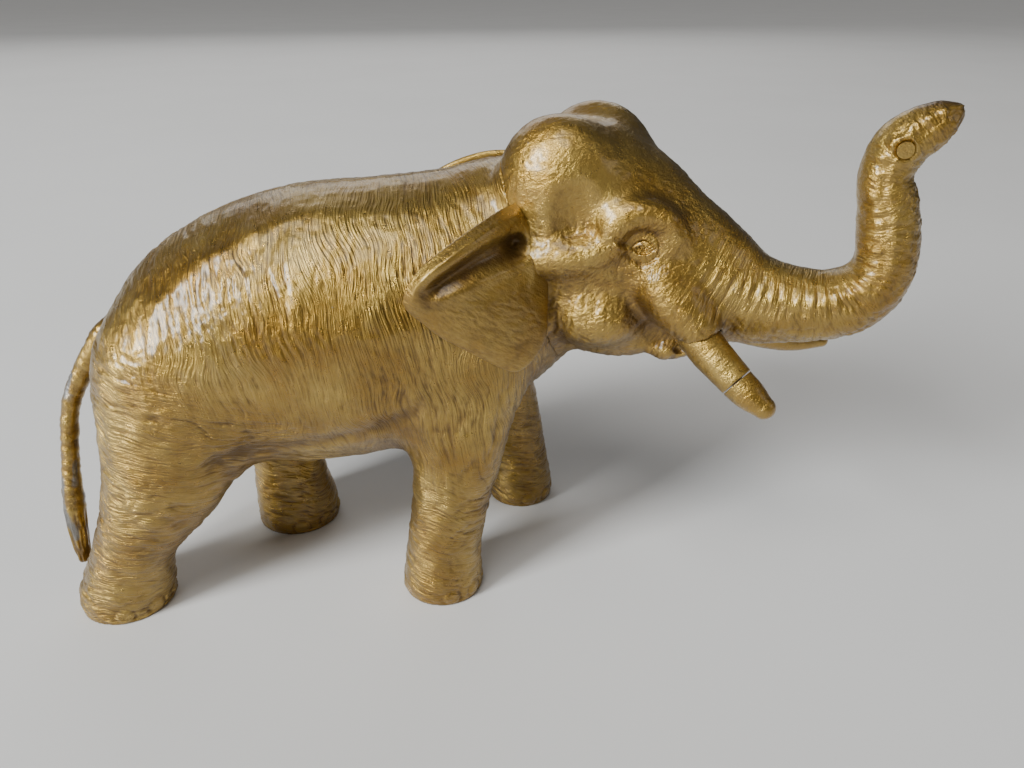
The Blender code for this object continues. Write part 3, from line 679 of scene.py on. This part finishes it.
def head_relief(points):
    """Creases on the face, rings and beads along the trunk, the eyes and the plug's collar."""
    local = to_head(points)
    x, _, z = local.T
    run, climb = trunk_place(local)
    trunk = smoothstep(20, 36, run)
    drift = wander(local, (8, 8, 8), 21)
    warped = local + 1.6 * drift
    dome = smoothstep(104, 112, z) * (1 - smoothstep(36, 46, x))
    pad = bell(x - 51, 8) * bell(z - 90, 10)
    skin = creases(warped, (1.9, 1.9, 5.0), 24, 0.30)
    fine = creases(warped, (0.9, 0.9, 2.2), 25, 0.40)
    height = -(1 - trunk) * (1 - 0.85 * dome) * (1 - 0.7 * pad) * (0.12 * skin + 0.09 * fine)
    jaw = bell(x - 27, 11) * (1 - smoothstep(88, 96, z))
    jowls = creases(turn_upright(warped, radians(-25)), (1.7, 8, 12), 26, 0.32)
    height -= (1 - trunk) * jaw * 0.24 * jowls
    height -= pad * 0.10 * creases(turn_upright(warped, radians(30)), (8, 5, 1.5), 27, 0.34)
    rings = creases(rows_of(run + 1.5 * drift[:, 0], climb / 24, 0), (1.45, 2.2, 1), 28, 0.36)
    beads = 0.5 - 0.5 * np.cos(tau * (run + 0.5 * drift[:, 1]) / 3.1)
    top = smoothstep(52, 70, climb)
    height -= trunk * (1 - 0.75 * top) * 0.22 * rings
    height += trunk * 0.42 * beads * bell(climb - 30, 15)
    height -= trunk * 0.20 * bell(climb - 8, 8)
    slanting = run + 0.10 * climb + 2.0 * drift[:, 2]
    wavy = creases(rows_of(slanting, climb / 16, 0), (2.3, 2.0, 1), 29, 0.3)
    height -= trunk * (1 - smoothstep(-20, 6, climb)) * 0.20 * wavy
    height += (0.10 - 0.06 * dome) * noise(local / 3.4, 30) + 0.07 * noise(local / 1.3, 31)
    return height + eyes(local) + plug_ring(local)


def eyes(local):
    """A ball behind two lids, a crease over them, bags below, and a short fold of skin behind."""
    across, up = local[:, 0] - EYE[0], local[:, 2] - EYE[1]
    side = smoothstep(6, 9, np.abs(local[:, 1]))
    reach = np.hypot(across, up)
    height = 1.2 * np.sqrt(np.maximum(1 - (reach / 3.6) ** 2, 0))
    opening = 0.72 * (1 - (across / 1.45) ** 2)
    inside = smoothstep(-0.10, 0.10, opening - np.abs(up))
    height -= inside * (0.50 - 0.34 * np.maximum(1 - (reach / 1.2) ** 2, 0))
    upper_lid = bell(up - 1.0 + 0.22 * across ** 2, 0.36)
    lower_lid = bell(up + 0.72 - 0.20 * across ** 2, 0.25)
    height += (1 - inside) * bell(across, 2.0) * (0.30 * upper_lid + 0.16 * lower_lid)
    for depth, middle, bend, width in EYE_ARCS:
        height -= depth * bell(up - middle - bend * across ** 2, width) * bell(across, 2.9)
    flat = rows_of(across, up)
    fold = nearest(flat, [(-5.6, 0.9), (-3.6, -0.9)])[0]
    above = nearest(flat, [(-5.6, 2.4), (-4.4, 1.3), (-3.4, 0.5)])[0]
    height += 0.5 * bell(fold, 0.55) - 0.4 * bell(above, 0.5)
    return height * side * (1 - smoothstep(7, 8, reach))


def painted_face_shade(points):
    """Painted shade in the sockets of the eyes, most under the brow, behind the pads and round the mouth, 0
    to 1.
    """
    x, y, z = to_head(points).T
    across, up = x - EYE[0], z - EYE[1]
    side = smoothstep(6, 9, np.abs(y))
    socket = bell(np.hypot(across, up - 0.6) - 4.0, 1.4) * (0.25 + 0.75 * smoothstep(-1, 3, up))
    crease = nearest(rows_of(x, z), [(22, 92), (31, 93), (38.5, 91), (41.6, 85), (39.0, 79)])[0]
    return side * np.maximum(socket, 0.62 * bell(crease, 3.0)) * (0.85 + 0.25 * noise(points / 1.5, 71))


def plug_ring(local):
    """The raised collar round the trunk's plug."""
    reach = np.hypot(local[:, 0] - PLUG_PLACE[0], local[:, 2] - PLUG_PLACE[2])
    return 0.35 * bell(reach - 2.5, 0.7) * (local[:, 1] < -2)


# ---- meshes -----------------------------------------------------------------------------
def to_frame(points):
    return (np.asarray(points, float) - CENTRE) * MM


def add_object(name, data):
    made = bpy.data.objects.new(name, data)
    bpy.context.scene.collection.objects.link(made)
    return made


def add_attributes(mesh, attributes):
    """Point attributes: one number or three to each vertex."""
    for key, values in attributes.items():
        values = np.asarray(values, np.float32)
        if values.ndim == 1:
            mesh.attributes.new(key, "FLOAT", "POINT").data.foreach_set("value", values)
        else:
            mesh.attributes.new(key, "FLOAT_VECTOR", "POINT").data.foreach_set("vector", values.ravel())


def place_piece(name, mesh, body, material, nodes):
    """An object for a finished mesh, on its body, in the place of its CAD nodes."""
    mesh.shade_smooth()
    mesh.materials.clear()
    mesh.materials.append(material)
    made = add_object(name, mesh)
    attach(made, body)
    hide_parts(*nodes)
    return made


def neighbour_means(edges, values):
    """Mean over the vertices at the other ends of each vertex's edges."""
    count = len(values)
    a, b = edges.T
    links = np.bincount(a, minlength=count) + np.bincount(b, minlength=count)
    columns = [np.bincount(a, column[b], count) + np.bincount(b, column[a], count)
               for column in values.reshape(count, -1).T]
    return (np.stack(columns, -1) / np.maximum(links, 1)[:, None]).reshape(values.shape)


def net_mesh(name, vertices, faces, fine=None, cuts=3):
    """A mesh of the net, with smaller faces where the function fine says so."""
    mesh = bpy.data.meshes.new(name)
    mesh.from_pydata(vertices.tolist(), [], faces.tolist())
    if fine is None:
        return mesh
    chosen = fine(vertices)
    bm = bmesh.new()
    bm.from_mesh(mesh)
    edges = [edge for edge in bm.edges if all(chosen[v.index] for v in edge.verts)]
    bmesh.ops.subdivide_edges(bm, edges=edges, cuts=cuts, use_grid_fill=True)
    bm.to_mesh(mesh)
    bm.free()
    return mesh


def mesh_arrays(mesh):
    """Places and edges of a mesh's vertices."""
    places = np.empty(len(mesh.vertices) * 3)
    mesh.vertices.foreach_get("co", places)
    edges = np.empty(len(mesh.edges) * 2, np.int64)
    mesh.edges.foreach_get("vertices", edges)
    return places.reshape(-1, 3), edges.reshape(-1, 2)


def finish_skin(mesh, field, outer, relief, ways, planes, calm=None, face_shade=None):
    """Smooth the net, push its skin along the outer form's slope and give it painted shade, 0 to 1, in its
    creases, near other skin and on faces that turn down.
    The points within the cuts and on the hollow side are held."""
    vertices, edges = mesh_arrays(mesh)
    skin = 1 - smoothstep(0.2 * field.cell, 0.7 * field.cell, np.abs(field.sample(vertices, outer)))
    if calm is not None:
        skin *= calm(vertices)
    hold = skin < 0.5
    for normal, offset in planes:
        hold |= np.abs(vertices @ normal - offset) < 0.6 * field.cell
    for _ in range(2):
        vertices = np.where(hold[:, None], vertices, 0.5 * (vertices + neighbour_means(edges, vertices)))
    height = relief(vertices) * skin
    slope = field.slope(vertices, outer)
    moved = vertices + slope * height[:, None]
    for normal, offset in planes:
        over = np.abs(vertices @ normal - offset) < 0.02
        moved -= np.where(over[:, None], normal * (moved @ normal - offset)[:, None], 0)
    moved[:, 2] = np.where(vertices[:, 2] < 0.4, vertices[:, 2], np.maximum(moved[:, 2], 0.0))
    level = height
    for _ in range(4):
        level = neighbour_means(edges, level)
    # painted shade where other skin lies within reach, as if shaded by it
    occlusion_shade = 1 - field.sample(vertices + SHADE_REACH * slope, outer) / SHADE_REACH
    # painted shade on faces that turn down
    underside_shade = smoothstep(0.1, 0.9, -slope[:, 2])
    # painted shade: more in the creases of the relief, less on its ridges, with the two terms above
    paint = 0.42 - (height - 0.7 * level) * 1.1 + 1.0 * np.clip(occlusion_shade, 0, 0.5) + 0.15 * underside_shade
    # the faces of the cuts and of the hollow side get an even painted shade
    painted_shade = np.clip(paint, 0, 1) * skin + 0.65 * (1 - skin)
    # painted shade of the face, where it is darker than the rest
    if face_shade is not None:
        painted_shade = np.maximum(painted_shade, face_shade(vertices))
    first, second, share, ribs = ways(vertices)
    mesh.vertices.foreach_set("co", to_frame(moved).ravel())
    add_attributes(mesh, {"painted_shade": painted_shade, "bare": np.zeros(len(painted_shade)), "way_a": first, "way_b": second,
                          "way_share": share, "ribs": ribs * skin})
    mesh.update()


def body_ways(points):
    """Coordinates for the finest wrinkles, upright on the barrel and level on the legs, the share
    of the level ones, and their strength."""
    drifted = points + 2.0 * wander(points, (9, 9, 9), 61)
    leaning = drifted + rows_of(0.16 * (points[:, 2] - 70), 0, 0)
    level = drifted + rows_of(0, 0, 0.25 * points[:, 0])
    ribs = 0.85 + 0.35 * noise(points / 12, 67)
    return leaning / [0.62, 9, 9], level / [8, 8, 0.62], leg_share(points), ribs


def make_bodies(paint):
    """The two halves of the body, from one form."""
    field = Field((-118, -37, -2), (34, 38, 134), BODY_CELL)
    shape_body(field)
    shape_head(field)
    field.cut(-UP, 0.0)
    shape_trap_seat(field)
    outer = field.d.copy()
    hollow_body(field)
    whole = field.d

    def calm(points):
        """No wrinkles on the trap's seat or round the soles."""
        from_trap = np.linalg.norm(points - TRAP_CENTRE, axis=1)
        return smoothstep(17, 23, from_trap) * smoothstep(0.0, 1.0, points[:, 2])

    neck_plane = (NECK_NORMAL, neck_point(-SEAM / 2) @ NECK_NORMAL)
    for side, sign in (("right", -1), ("left", 1)):
        middle_plane = (np.array([0.0, -sign, 0.0]), -SEAM / 2)
        field.d = whole.copy()
        field.cut(*middle_plane)
        field.cut(*neck_plane)
        name = f"body_shell_{side}"
        mesh = net_mesh(name, *nets(field, [(outer, *middle_plane), (outer, *neck_plane)]))
        finish_skin(mesh, field, outer, body_relief, body_ways, (middle_plane, neck_plane), calm)
        place_piece(name, mesh, "bank", paint, [f"torso_{side}_half"])


def head_ways(points):
    """Coordinates for the finest wrinkles of the head and of the trunk, the trunk's share, and
    their strength."""
    local = to_head(points)
    run, climb = trunk_place(local)
    drift = wander(local, (7, 7, 7), 64)
    face = turn_upright(local + 1.5 * drift, radians(30)) / [1.6, 1.0, 0.8]
    rings = rows_of((run + 1.2 * drift[:, 0]) / 0.8, climb / 26 + 0.5 * drift[:, 1], 0)
    trunk = smoothstep(20, 36, run)
    smooth = smoothstep(103, 111, local[:, 2]) * (1 - smoothstep(40, 50, local[:, 0]))
    ribs = (0.50 - 0.25 * smooth) * (1 - trunk) + 0.6 * trunk
    return face, rings, trunk, ribs


def near_eyes(points):
    local = to_head(points)
    flat = np.hypot(local[:, 0] - EYE[0], local[:, 2] - EYE[1])
    return (flat < 8.0) & (np.abs(local[:, 1]) > 8)


def make_head(paint):
    field = Field((-10, -60, 64), (112, 24, 136), HEAD_CELL)
    shape_body(field)
    shape_head(field)
    outer = field.d.copy()
    neck_plane = (-NECK_NORMAL, -neck_point(SEAM / 2) @ NECK_NORMAL)
    field.cut(*neck_plane)
    field.rod(neck_point(-COLLAR - GAP - FLANGE_T / 2), neck_point(4), SPIGOT_R)
    field.rod(neck_point(-COLLAR - GAP - FLANGE_T), neck_point(-COLLAR - GAP), FLANGE_R)
    field.ellipsoid(*HEAD_HOLLOW, carve=True)
    field.rod(neck_point(-30), neck_point(12), NECK_BORE_R, carve=True)
    for stations in (TUSK_RIGHT, TUSK_LEFT):
        field.tube(stations, carve=True, head=True, grow=GAP)
    x, y, z = PLUG_PLACE
    field.rod(from_head((x, y + PLUG_DEPTH, z)), from_head((x, y - 8, z)), PLUG_R - 0.05, carve=True)
    mesh = net_mesh("head_and_trunk", *nets(field, [(outer, *neck_plane)]), fine=near_eyes)
    finish_skin(mesh, field, outer, head_relief, head_ways, (neck_plane,), face_shade=painted_face_shade)
    place_piece("head_and_trunk", mesh, "bank", paint, ["head_casting"])


def make_ear(name, side, shift, paint):
    """A closed sheet in polar rows: rolled rim, valley with the ear's hole, and the flap below it."""
    rows, columns = ((56, 250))
    edge = smooth_rows(EAR_EDGE + EAR_EDGE[:1], 24)
    run = runs_of(edge)
    along = np.linspace(0, run[-1], columns, endpoint=False)
    edge = np.stack([np.interp(along, run, edge[:, i]) for i in range(2)], -1)
    reach = np.sin(np.linspace(0, np.pi / 2, rows + 1))[1:]
    flat = EAR_MIDDLE + reach[:, None, None] * (edge - EAR_MIDDLE)
    flat = np.vstack([EAR_MIDDLE, flat.reshape(-1, 2)])
    share = np.concatenate([[0], np.repeat(reach, columns)])
    x, z = flat.T
    sheet = rows_of(1, x, z, x * x, x * z, z * z) @ np.array(EAR_SHEET)
    front, painted_shade = ear_relief(x, z, share)
    rounding = np.sqrt(np.maximum(1 - share ** 14, 0))
    half = 0.9 + 0.5 * smoothstep(95, 108, z)
    face_y = sheet - half * rounding - front * rounding
    back_y = np.maximum(sheet + half * rounding, face_y + 1.1 * rounding)
    shell = np.vstack([rows_of(x, face_y, z), rows_of(x, back_y, z)])
    count = len(flat)
    # the back's last row is the face's, so that the sheet is closed
    keep = np.arange(2 * count)
    keep[-columns:] = np.arange(count - columns, count)
    faces = []
    for start, flip in ((0, -1), (count, 1)):
        for ring, k in product(range(rows), range(columns)):
            this = start + 1 + ring * columns + k
            following = start + 1 + ring * columns + (k + 1) % columns
            if ring == 0:
                face = (start, this, following)
            else:
                face = (this - columns, this, following, following - columns)
            faces.append(tuple(int(keep[i]) for i in face[::flip * side]))
    if side > 0:
        shell = shell * [1, -1, 1] + shift
    painted_shade = np.concatenate([painted_shade, np.full(count, 0.4)])
    mesh = bpy.data.meshes.new(name)
    mesh.from_pydata(to_frame(shell).tolist(), [], faces)
    way = turn_upright(shell, EAR_GRAIN) / [2.2, 2.2, 0.8]
    add_attributes(mesh, {"painted_shade": painted_shade, "bare": np.zeros(len(painted_shade)), "way_a": way,
                          "ribs": np.full(len(painted_shade), 0.35)})
    remove_loose(mesh)
    place_piece(name + "_flap", mesh, "bank", paint, [name])


def remove_loose(mesh):
    """Drop vertices that no face uses, and point the faces outward."""
    bm = bmesh.new()
    bm.from_mesh(mesh)
    spare = [v for v in bm.verts if not v.link_faces]
    bmesh.ops.delete(bm, geom=spare, context="VERTS")
    bmesh.ops.recalc_face_normals(bm, faces=bm.faces)
    bm.to_mesh(mesh)
    bm.free()


def ear_relief(x, z, share):
    """How far the ear's face stands out of its sheet, and the painted shade there: dark in the valley, the
    hole and the lower flap, lighter along the rim.
    """
    from_edge = (1 - share) * 14
    upper = smoothstep(89, 99, z) * (1 - smoothstep(14, 19, x))
    below = 1 - smoothstep(91, 98, z)
    valley, along, _, _ = nearest(rows_of(x, z), EAR_VALLEY)
    flap = nearest(rows_of(x, z), EAR_FLAP)[0]
    hole = np.hypot(x - EAR_HOLE[0], z - EAR_HOLE[1])
    height = 1.9 * upper * smoothstep(0, 1.6, from_edge) * (1 - smoothstep(2.4, 5.6, from_edge))
    height -= (3.0 - 1.6 * along) * bell(valley, 3.0 - 0.9 * along) + 2.2 * bell(hole, 2.2)
    height += 0.55 * bell(flap, 1.5) * (z < 99.5)
    grain = creases(turn_upright(rows_of(x, 0, z), EAR_GRAIN), (3.4, 1, 1.3), 41, 0.4)
    height += below * (0.5 * bell(x - 4, 10) - 0.13 * grain) * smoothstep(0.5, 4, from_edge)
    points = rows_of(x, z, 0)
    height += 0.05 * noise(points / 1.3, 42) + 0.12 * noise(points / 5, 43)
    # painted shade on the lower flap, in the valley and the hole, and less of it along the rim as a painted
    # highlight
    painted_shade = 0.42 + 0.22 * below + 0.12 * below * (grain - 0.4) - 0.3 * upper * bell(from_edge - 2, 2)
    painted_shade += 0.55 * bell(valley, 3.2) + 0.5 * bell(hole, 3.0)
    return height, np.clip(painted_shade, 0, 1)


def make_tube(name, node, stations, paint, relief, bare=None, plane=None, head=True, steps=14):
    """A lofted casting, closed with round ends, with relief along its own length and round it."""
    sides = 44
    curve = smooth_rows([row if len(row) == 5 else (*row, row[3]) for row in stations], steps)
    centres = from_head(curve[:, :3]) if head else curve[:, :3]
    radii = curve[:, 3]
    run = runs_of(centres)
    tangents = scaled_to_one(np.gradient(centres, axis=0))

    def cap(end, sign):
        """The rings of a round end: middle, direction, radius and distance along the tube."""
        return [(centres[end] + sign * tangents[end] * radii[end] * sin(a), tangents[end],
                 radii[end] * cos(a), run[end] + sign * radii[end] * sin(a)) for a in CAP_ANGLES]

    rings = [*cap(0, -1)[::-1], *zip(centres, tangents, radii, run), *cap(-1, 1)]
    side = turned((0, 1, 0), HEAD_TURN if head else 0)
    vertices, place = [], []
    for centre, along, radius, distance in rings:
        lateral = side - along * (side @ along)
        lateral /= np.linalg.norm(lateral)
        up = np.cross(along, lateral)
        for k in range(sides):
            angle = tau * k / sides
            vertices.append(centre + radius * (lateral * cos(angle) + up * sin(angle)))
            place.append((distance, angle, radius))
    vertices, place = np.array(vertices), np.array(place)
    outward = scaled_to_one(vertices - np.repeat([ring[0] for ring in rings], sides, axis=0))
    height = relief(place, vertices)
    vertices = vertices + outward * height[:, None]
    bareness = np.zeros(len(place)) if bare is None else bare(place)
    if plane is not None:
        normal, offset = plane
        vertices = vertices - normal * np.maximum(vertices @ normal - offset, 0)[:, None]
    faces = [(a, b, b + sides, a + sides) for ring in range(len(rings) - 1)
             for a, b in ((ring * sides + k, ring * sides + (k + 1) % sides) for k in range(sides))]
    faces += [tuple(range(sides))[::-1], tuple(range(len(vertices) - sides, len(vertices)))]
    mesh = bpy.data.meshes.new(name)
    mesh.from_pydata(to_frame(vertices).tolist(), [], faces)
    run, angle, radius = place.T
    # painted shade in the dips of the relief, less on its bumps
    add_attributes(mesh, {"painted_shade": np.clip(0.45 - 1.5 * height, 0, 1), "bare": bareness,
                          "way_a": rows_of(run, radius * np.cos(angle) / 3.0, radius * np.sin(angle) / 3.0),
                          "ribs": np.full(len(run), 0.3)})
    remove_loose(mesh)
    place_piece(name, mesh, "bank", paint, [node])


def around(place, along=1.0, across=1.0):
    """Coordinates for noise on a tube that meet where its turn ends."""
    run, angle, _ = place.T
    return rows_of(run * along, across * np.cos(angle), across * np.sin(angle))


def tusk_relief(place, vertices):
    return 0.10 * noise(vertices / [6, 3, 3], 51) + 0.05 * noise(vertices / 1.4, 52)


def tail_relief(place, vertices):
    """Rings on the shaft, strands of hair on the tuft."""
    run = place[:, 0]
    tuft = smoothstep(run.max() - 20, run.max() - 12, run)
    rings = creases(around(place), (1.7, 2, 2), 53, 0.35)
    strands = creases(around(place, across=3), (9, 0.9, 0.9), 54, 0.4)
    return -0.22 * rings * (1 - tuft) - 0.5 * strands * tuft + 0.12 * noise(vertices / 3, 55)


def tail_bare(place):
    """Where the paint is worn to the iron, mostly low down."""
    run = place[:, 0]
    spot = noise(around(place, along=0.2, across=1.4), 56)
    return smoothstep(0.25, 0.45, spot - 0.45 + 0.5 * smoothstep(0.45, 0.9, run / run.max()))


def make_tusks(paint):
    """The left tusk, and the right one in two lengths that meet at the ring of its mend."""
    stub_end, tip_start = from_head(TUSK_RIGHT[-1][:3]), from_head(TUSK_RIGHT_TIP[0][:3])
    joint = (stub_end + tip_start) / 2
    along = tip_start - from_head(TUSK_RIGHT[-2][:3])
    along /= np.linalg.norm(along)

    def stub_bare(place):
        run = place[:, 0]
        return 0.4 * smoothstep(run.max() - 2.6, run.max() - 1.6, run + 0.5 * np.sin(3 * place[:, 1]))

    def tip_bare(place):
        return 0.4 - 0.4 * smoothstep(-3.5, -1.0, place[:, 0] + 0.5 * np.sin(2 * place[:, 1]))

    make_tube("right_tusk_stub", "tusk_right", TUSK_RIGHT, paint, tusk_relief, stub_bare,
              (along, joint @ along - GAP / 2))
    make_tube("right_tusk_end", "tusk_right_tip", TUSK_RIGHT_TIP, paint, tusk_relief, tip_bare,
              (-along, -joint @ along - GAP / 2))
    make_tube("left_tusk_horn", "tusk_left", TUSK_LEFT, paint, tusk_relief)


# ---- materials --------------------------------------------------------------------------
def start_material(name):
    made = bpy.data.materials.new(name + LOOK)
    made.use_nodes = True
    tree = made.node_tree
    return made, tree, tree.nodes["Principled BSDF"]


def feed(tree, sockets, values):
    """Link each socket to its value, or set the socket to it when it is a constant."""
    for key, value in values.items():
        if isinstance(value, bpy.types.NodeSocket):
            tree.links.new(value, sockets[key])
        else:
            sockets[key].default_value = value


def add_node(tree, kind, inputs=None, output=0, **settings):
    """One output of a new node with the given inputs and settings."""
    made = tree.nodes.new(kind)
    for key, value in settings.items():
        setattr(made, key, value)
    feed(tree, made.inputs, inputs or {})
    return made.outputs[output]


def attribute(tree, key, output="Fac"):
    return add_node(tree, "ShaderNodeAttribute", output=output, attribute_name=key)


def object_place(tree):
    return add_node(tree, "ShaderNodeTexCoord", output="Object")


def noise_node(tree, where, scale, detail, roughness):
    inputs = {"Vector": where, "Scale": scale, "Detail": detail, "Roughness": roughness}
    return add_node(tree, "ShaderNodeTexNoise", inputs, "Fac")


def ramp_node(tree, value, low, high, to_low=0.0, to_high=1.0):
    inputs = {"Value": value, "From Min": low, "From Max": high, "To Min": to_low, "To Max": to_high}
    return add_node(tree, "ShaderNodeMapRange", inputs, "Result")


def mix_colour(tree, factor, a, b):
    return add_node(tree, "ShaderNodeMix", {0: factor, 6: a, 7: b}, 2, data_type="RGBA")


def maths(tree, operation, a, b):
    return add_node(tree, "ShaderNodeMath", {0: a, 1: b}, operation=operation)


def bump(tree, strength, distance, height, normal=None):
    inputs = {"Strength": strength, "Distance": distance, "Height": height}
    if normal is not None:
        inputs["Normal"] = normal
    return add_node(tree, "ShaderNodeBump", inputs, "Normal")


GOLD_BRIGHT = (0.42, 0.275, 0.064, 1)
GOLD_DEEP = (0.27, 0.145, 0.018, 1)
OLIVE = (0.25, 0.17, 0.04, 1)
# brown of the painted shade in creases, hollows and undersides
SHADE_BROWN = (0.115, 0.058, 0.012, 1)
IRON = (0.22, 0.205, 0.185, 1)
STEEL = (0.42, 0.40, 0.37, 1)
RUST = (0.20, 0.15, 0.11, 1)
FLOOR_DIM = (0.66, 0.645, 0.62, 1)
FLOOR_LIGHT = (0.72, 0.705, 0.68, 1)


def gold_paint():
    """Bronze powder paint on cast iron: mottled, with painted shade in the creases, iron where it is worn
    off.
    """
    made, tree, shader = start_material("gold_paint")
    where = object_place(tree)
    painted_shade, bare, ribs = (attribute(tree, key) for key in ("painted_shade", "bare", "ribs"))
    clouds = noise_node(tree, where, 55, 4, 0.6)
    mottle = noise_node(tree, where, 420, 4, 0.65)
    grain = noise_node(tree, where, 2600, 3, 0.6)
    # the finest wrinkles, along either of two ways
    lines_a, lines_b = (noise_node(tree, attribute(tree, key, "Vector"), 1.0, 2, 0.6)
                        for key in ("way_a", "way_b"))
    inputs = {"Factor": attribute(tree, "way_share"), "A": lines_a, "B": lines_b}
    lines = add_node(tree, "ShaderNodeMix", inputs, "Result")
    colour = mix_colour(tree, ramp_node(tree, clouds, 0.35, 0.65), GOLD_DEEP, GOLD_BRIGHT)
    colour = mix_colour(tree, ramp_node(tree, mottle, 0.42, 0.72, 0.0, 0.45), colour, OLIVE)
    # painted shade in the valleys of the finest wrinkles, added to the mesh's painted shade
    valley = maths(tree, "MULTIPLY", ramp_node(tree, lines, 0.52, 0.34, 0.0, 0.32), ribs)
    painted_shade = maths(tree, "ADD", painted_shade, valley)
    # painted shade and random mottle together: where they are high the colour turns to the shade's brown
    shade_and_mottle = maths(tree, "ADD", painted_shade, maths(tree, "MULTIPLY", maths(tree, "SUBTRACT", mottle, 0.5), 0.3))
    colour = mix_colour(tree, ramp_node(tree, shade_and_mottle, 0.55, 1.0, 0.0, 0.85), colour, SHADE_BROWN)
    chips = ramp_node(tree, noise_node(tree, where, 210, 2, 0.5), 0.79, 0.81)
    colour = mix_colour(tree, maths(tree, "MAXIMUM", bare, chips), colour, IRON)
    roughness = maths(tree, "ADD", ramp_node(tree, mottle, 0.3, 0.7, 0.24, 0.38),
                      ramp_node(tree, painted_shade, 0.5, 1.0, 0.0, 0.18))
    wrinkles = bump(tree, ribs, 0.0010, lines)
    fine = bump(tree, 0.7, 0.0002, grain, wrinkles)
    feed(tree, shader.inputs, {"Base Color": colour, "Metallic": 0.88, "Roughness": roughness,
                               "Coat Weight": 0.6, "Coat Roughness": 0.24,
                               "Normal": bump(tree, 0.3, 0.0004, mottle, fine)})
    return made


def screw_steel():
    made, tree, shader = start_material("screw_steel")
    where = object_place(tree)
    spots = noise_node(tree, where, 900, 4, 0.6)
    streaks = noise_node(tree, where, 3200, 2, 0.5)
    colour = mix_colour(tree, ramp_node(tree, spots, 0.4, 0.7), STEEL, RUST)
    roughness = ramp_node(tree, spots, 0.3, 0.7, 0.3, 0.55)
    feed(tree, shader.inputs, {"Base Color": colour, "Roughness": roughness, "Metallic": 1.0,
                               "Normal": bump(tree, 0.3, 0.0001, streaks)})
    return made


def floor_material():
    made, tree, shader = start_material("pale_floor")
    mist = noise_node(tree, object_place(tree), 6, 3, 0.5)
    colour = mix_colour(tree, mist, FLOOR_DIM, FLOOR_LIGHT)
    feed(tree, shader.inputs, {"Base Color": colour, "Roughness": 0.7})
    return made


# ---- small hardware ---------------------------------------------------------------------
def soften_node(frame, node, name, material, width, body="bank"):
    """A copy of a CAD node with its edges broken, which stands for it."""
    made = place_piece(name, frame["nodes"][node].data.copy(), body, material, [node])
    bevel = made.modifiers.new("Broken edges", "BEVEL")
    bevel.width = width * MM
    bevel.segments = 3
    bevel.limit_method = "ANGLE"
    bevel.angle_limit = radians(40)


# ---- studio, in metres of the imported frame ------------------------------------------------
def light(name, kind, strength, colour, **settings):
    data = bpy.data.lights.new(name, kind)
    data.energy = strength
    data.color = colour
    for key, value in settings.items():
        setattr(data, key, value)
    return add_object(name, data)


def area_light(name, place, size, power, colour):
    """A rectangle of light, pointed at the middle of the animal."""
    made = light(name, "AREA", power, colour, shape="RECTANGLE", size=size[0], size_y=size[1])
    made.location = place
    made.rotation_euler = (LIT - Vector(place)).to_track_quat("-Z", "Y").to_euler()


LIT = Vector((0, 0, 0.07))
SUN_WAY = Vector((-0.25, -0.45, 0.85))
FLOOR_HALF = 20.0
WORLD_COLOUR, WORLD_STRENGTH = (0.50, 0.53, 0.58, 1), 0.14


def studio():
    mesh = bpy.data.meshes.new("floor")
    corners = [(x * FLOOR_HALF, y * FLOOR_HALF, 0) for x, y in ((-1, -1), (1, -1), (1, 1), (-1, 1))]
    mesh.from_pydata(corners, [], [(0, 1, 2, 3)])
    mesh.materials.append(floor_material())
    floor = add_object("floor", mesh)
    floor.location.z = -0.0002
    area_light("window", (-1.6, -0.95, 1.05), (0.60, 0.75), 66, (0.93, 0.97, 1.0))
    area_light("back", (-0.2, 1.9, 1.2), (2.4, 1.0), 14, (0.98, 0.99, 1.0))
    area_light("fill", (1.6, -1.0, 1.0), (0.8, 0.8), 3.5, (1.0, 0.95, 0.88))
    # an even light over the whole floor, from a wide disc of sky
    sun = light("ceiling", "SUN", 1.15, (1.0, 0.99, 0.97), angle=radians(28))
    sun.rotation_euler = SUN_WAY.to_track_quat("Z", "Y").to_euler()
    world = bpy.data.worlds.new("studio")
    world.use_nodes = True
    feed(world.node_tree, world.node_tree.nodes["Background"].inputs,
         {"Color": WORLD_COLOUR, "Strength": WORLD_STRENGTH})
    bpy.context.scene.world = world


def camera():
    data = bpy.data.cameras.new("camera")
    data.sensor_width = SENSOR
    data.lens = LENS
    data.clip_start = 0.01
    made = add_object("camera", data)
    made.location = to_frame(CAMERA_PLACE)
    made.rotation_euler = (radians(90) - CAMERA_TILT, 0, -CAMERA_TURN)
    bpy.context.scene.camera = made


def main():
    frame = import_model()
    camera()
    studio()
    paint, steel = gold_paint(), screw_steel()
    make_bodies(paint)
    make_head(paint)
    make_ear("ear_right", -1, (0.0, 0.0, 0.0), paint)
    make_ear("ear_left", 1, FAR_EAR_SHIFT, paint)
    make_tusks(paint)
    make_tube("tail_and_tuft", "tail", TAIL, paint, tail_relief, tail_bare, head=False, steps=26)
    soften_node(frame, "trap_door", "trap_plate", paint, 0.4, body="trap")
    soften_node(frame, "trunk_plug", "plug_in_trunk", paint, 0.15)
    for node in ("body_screw_front", "body_screw_rear", "trap_pivot_screw", "trap_spring_washer",
                 "trap_stop_pin", "tusk_dowel"):
        soften_node(frame, node, node + "_steel", steel, 0.15)


main()
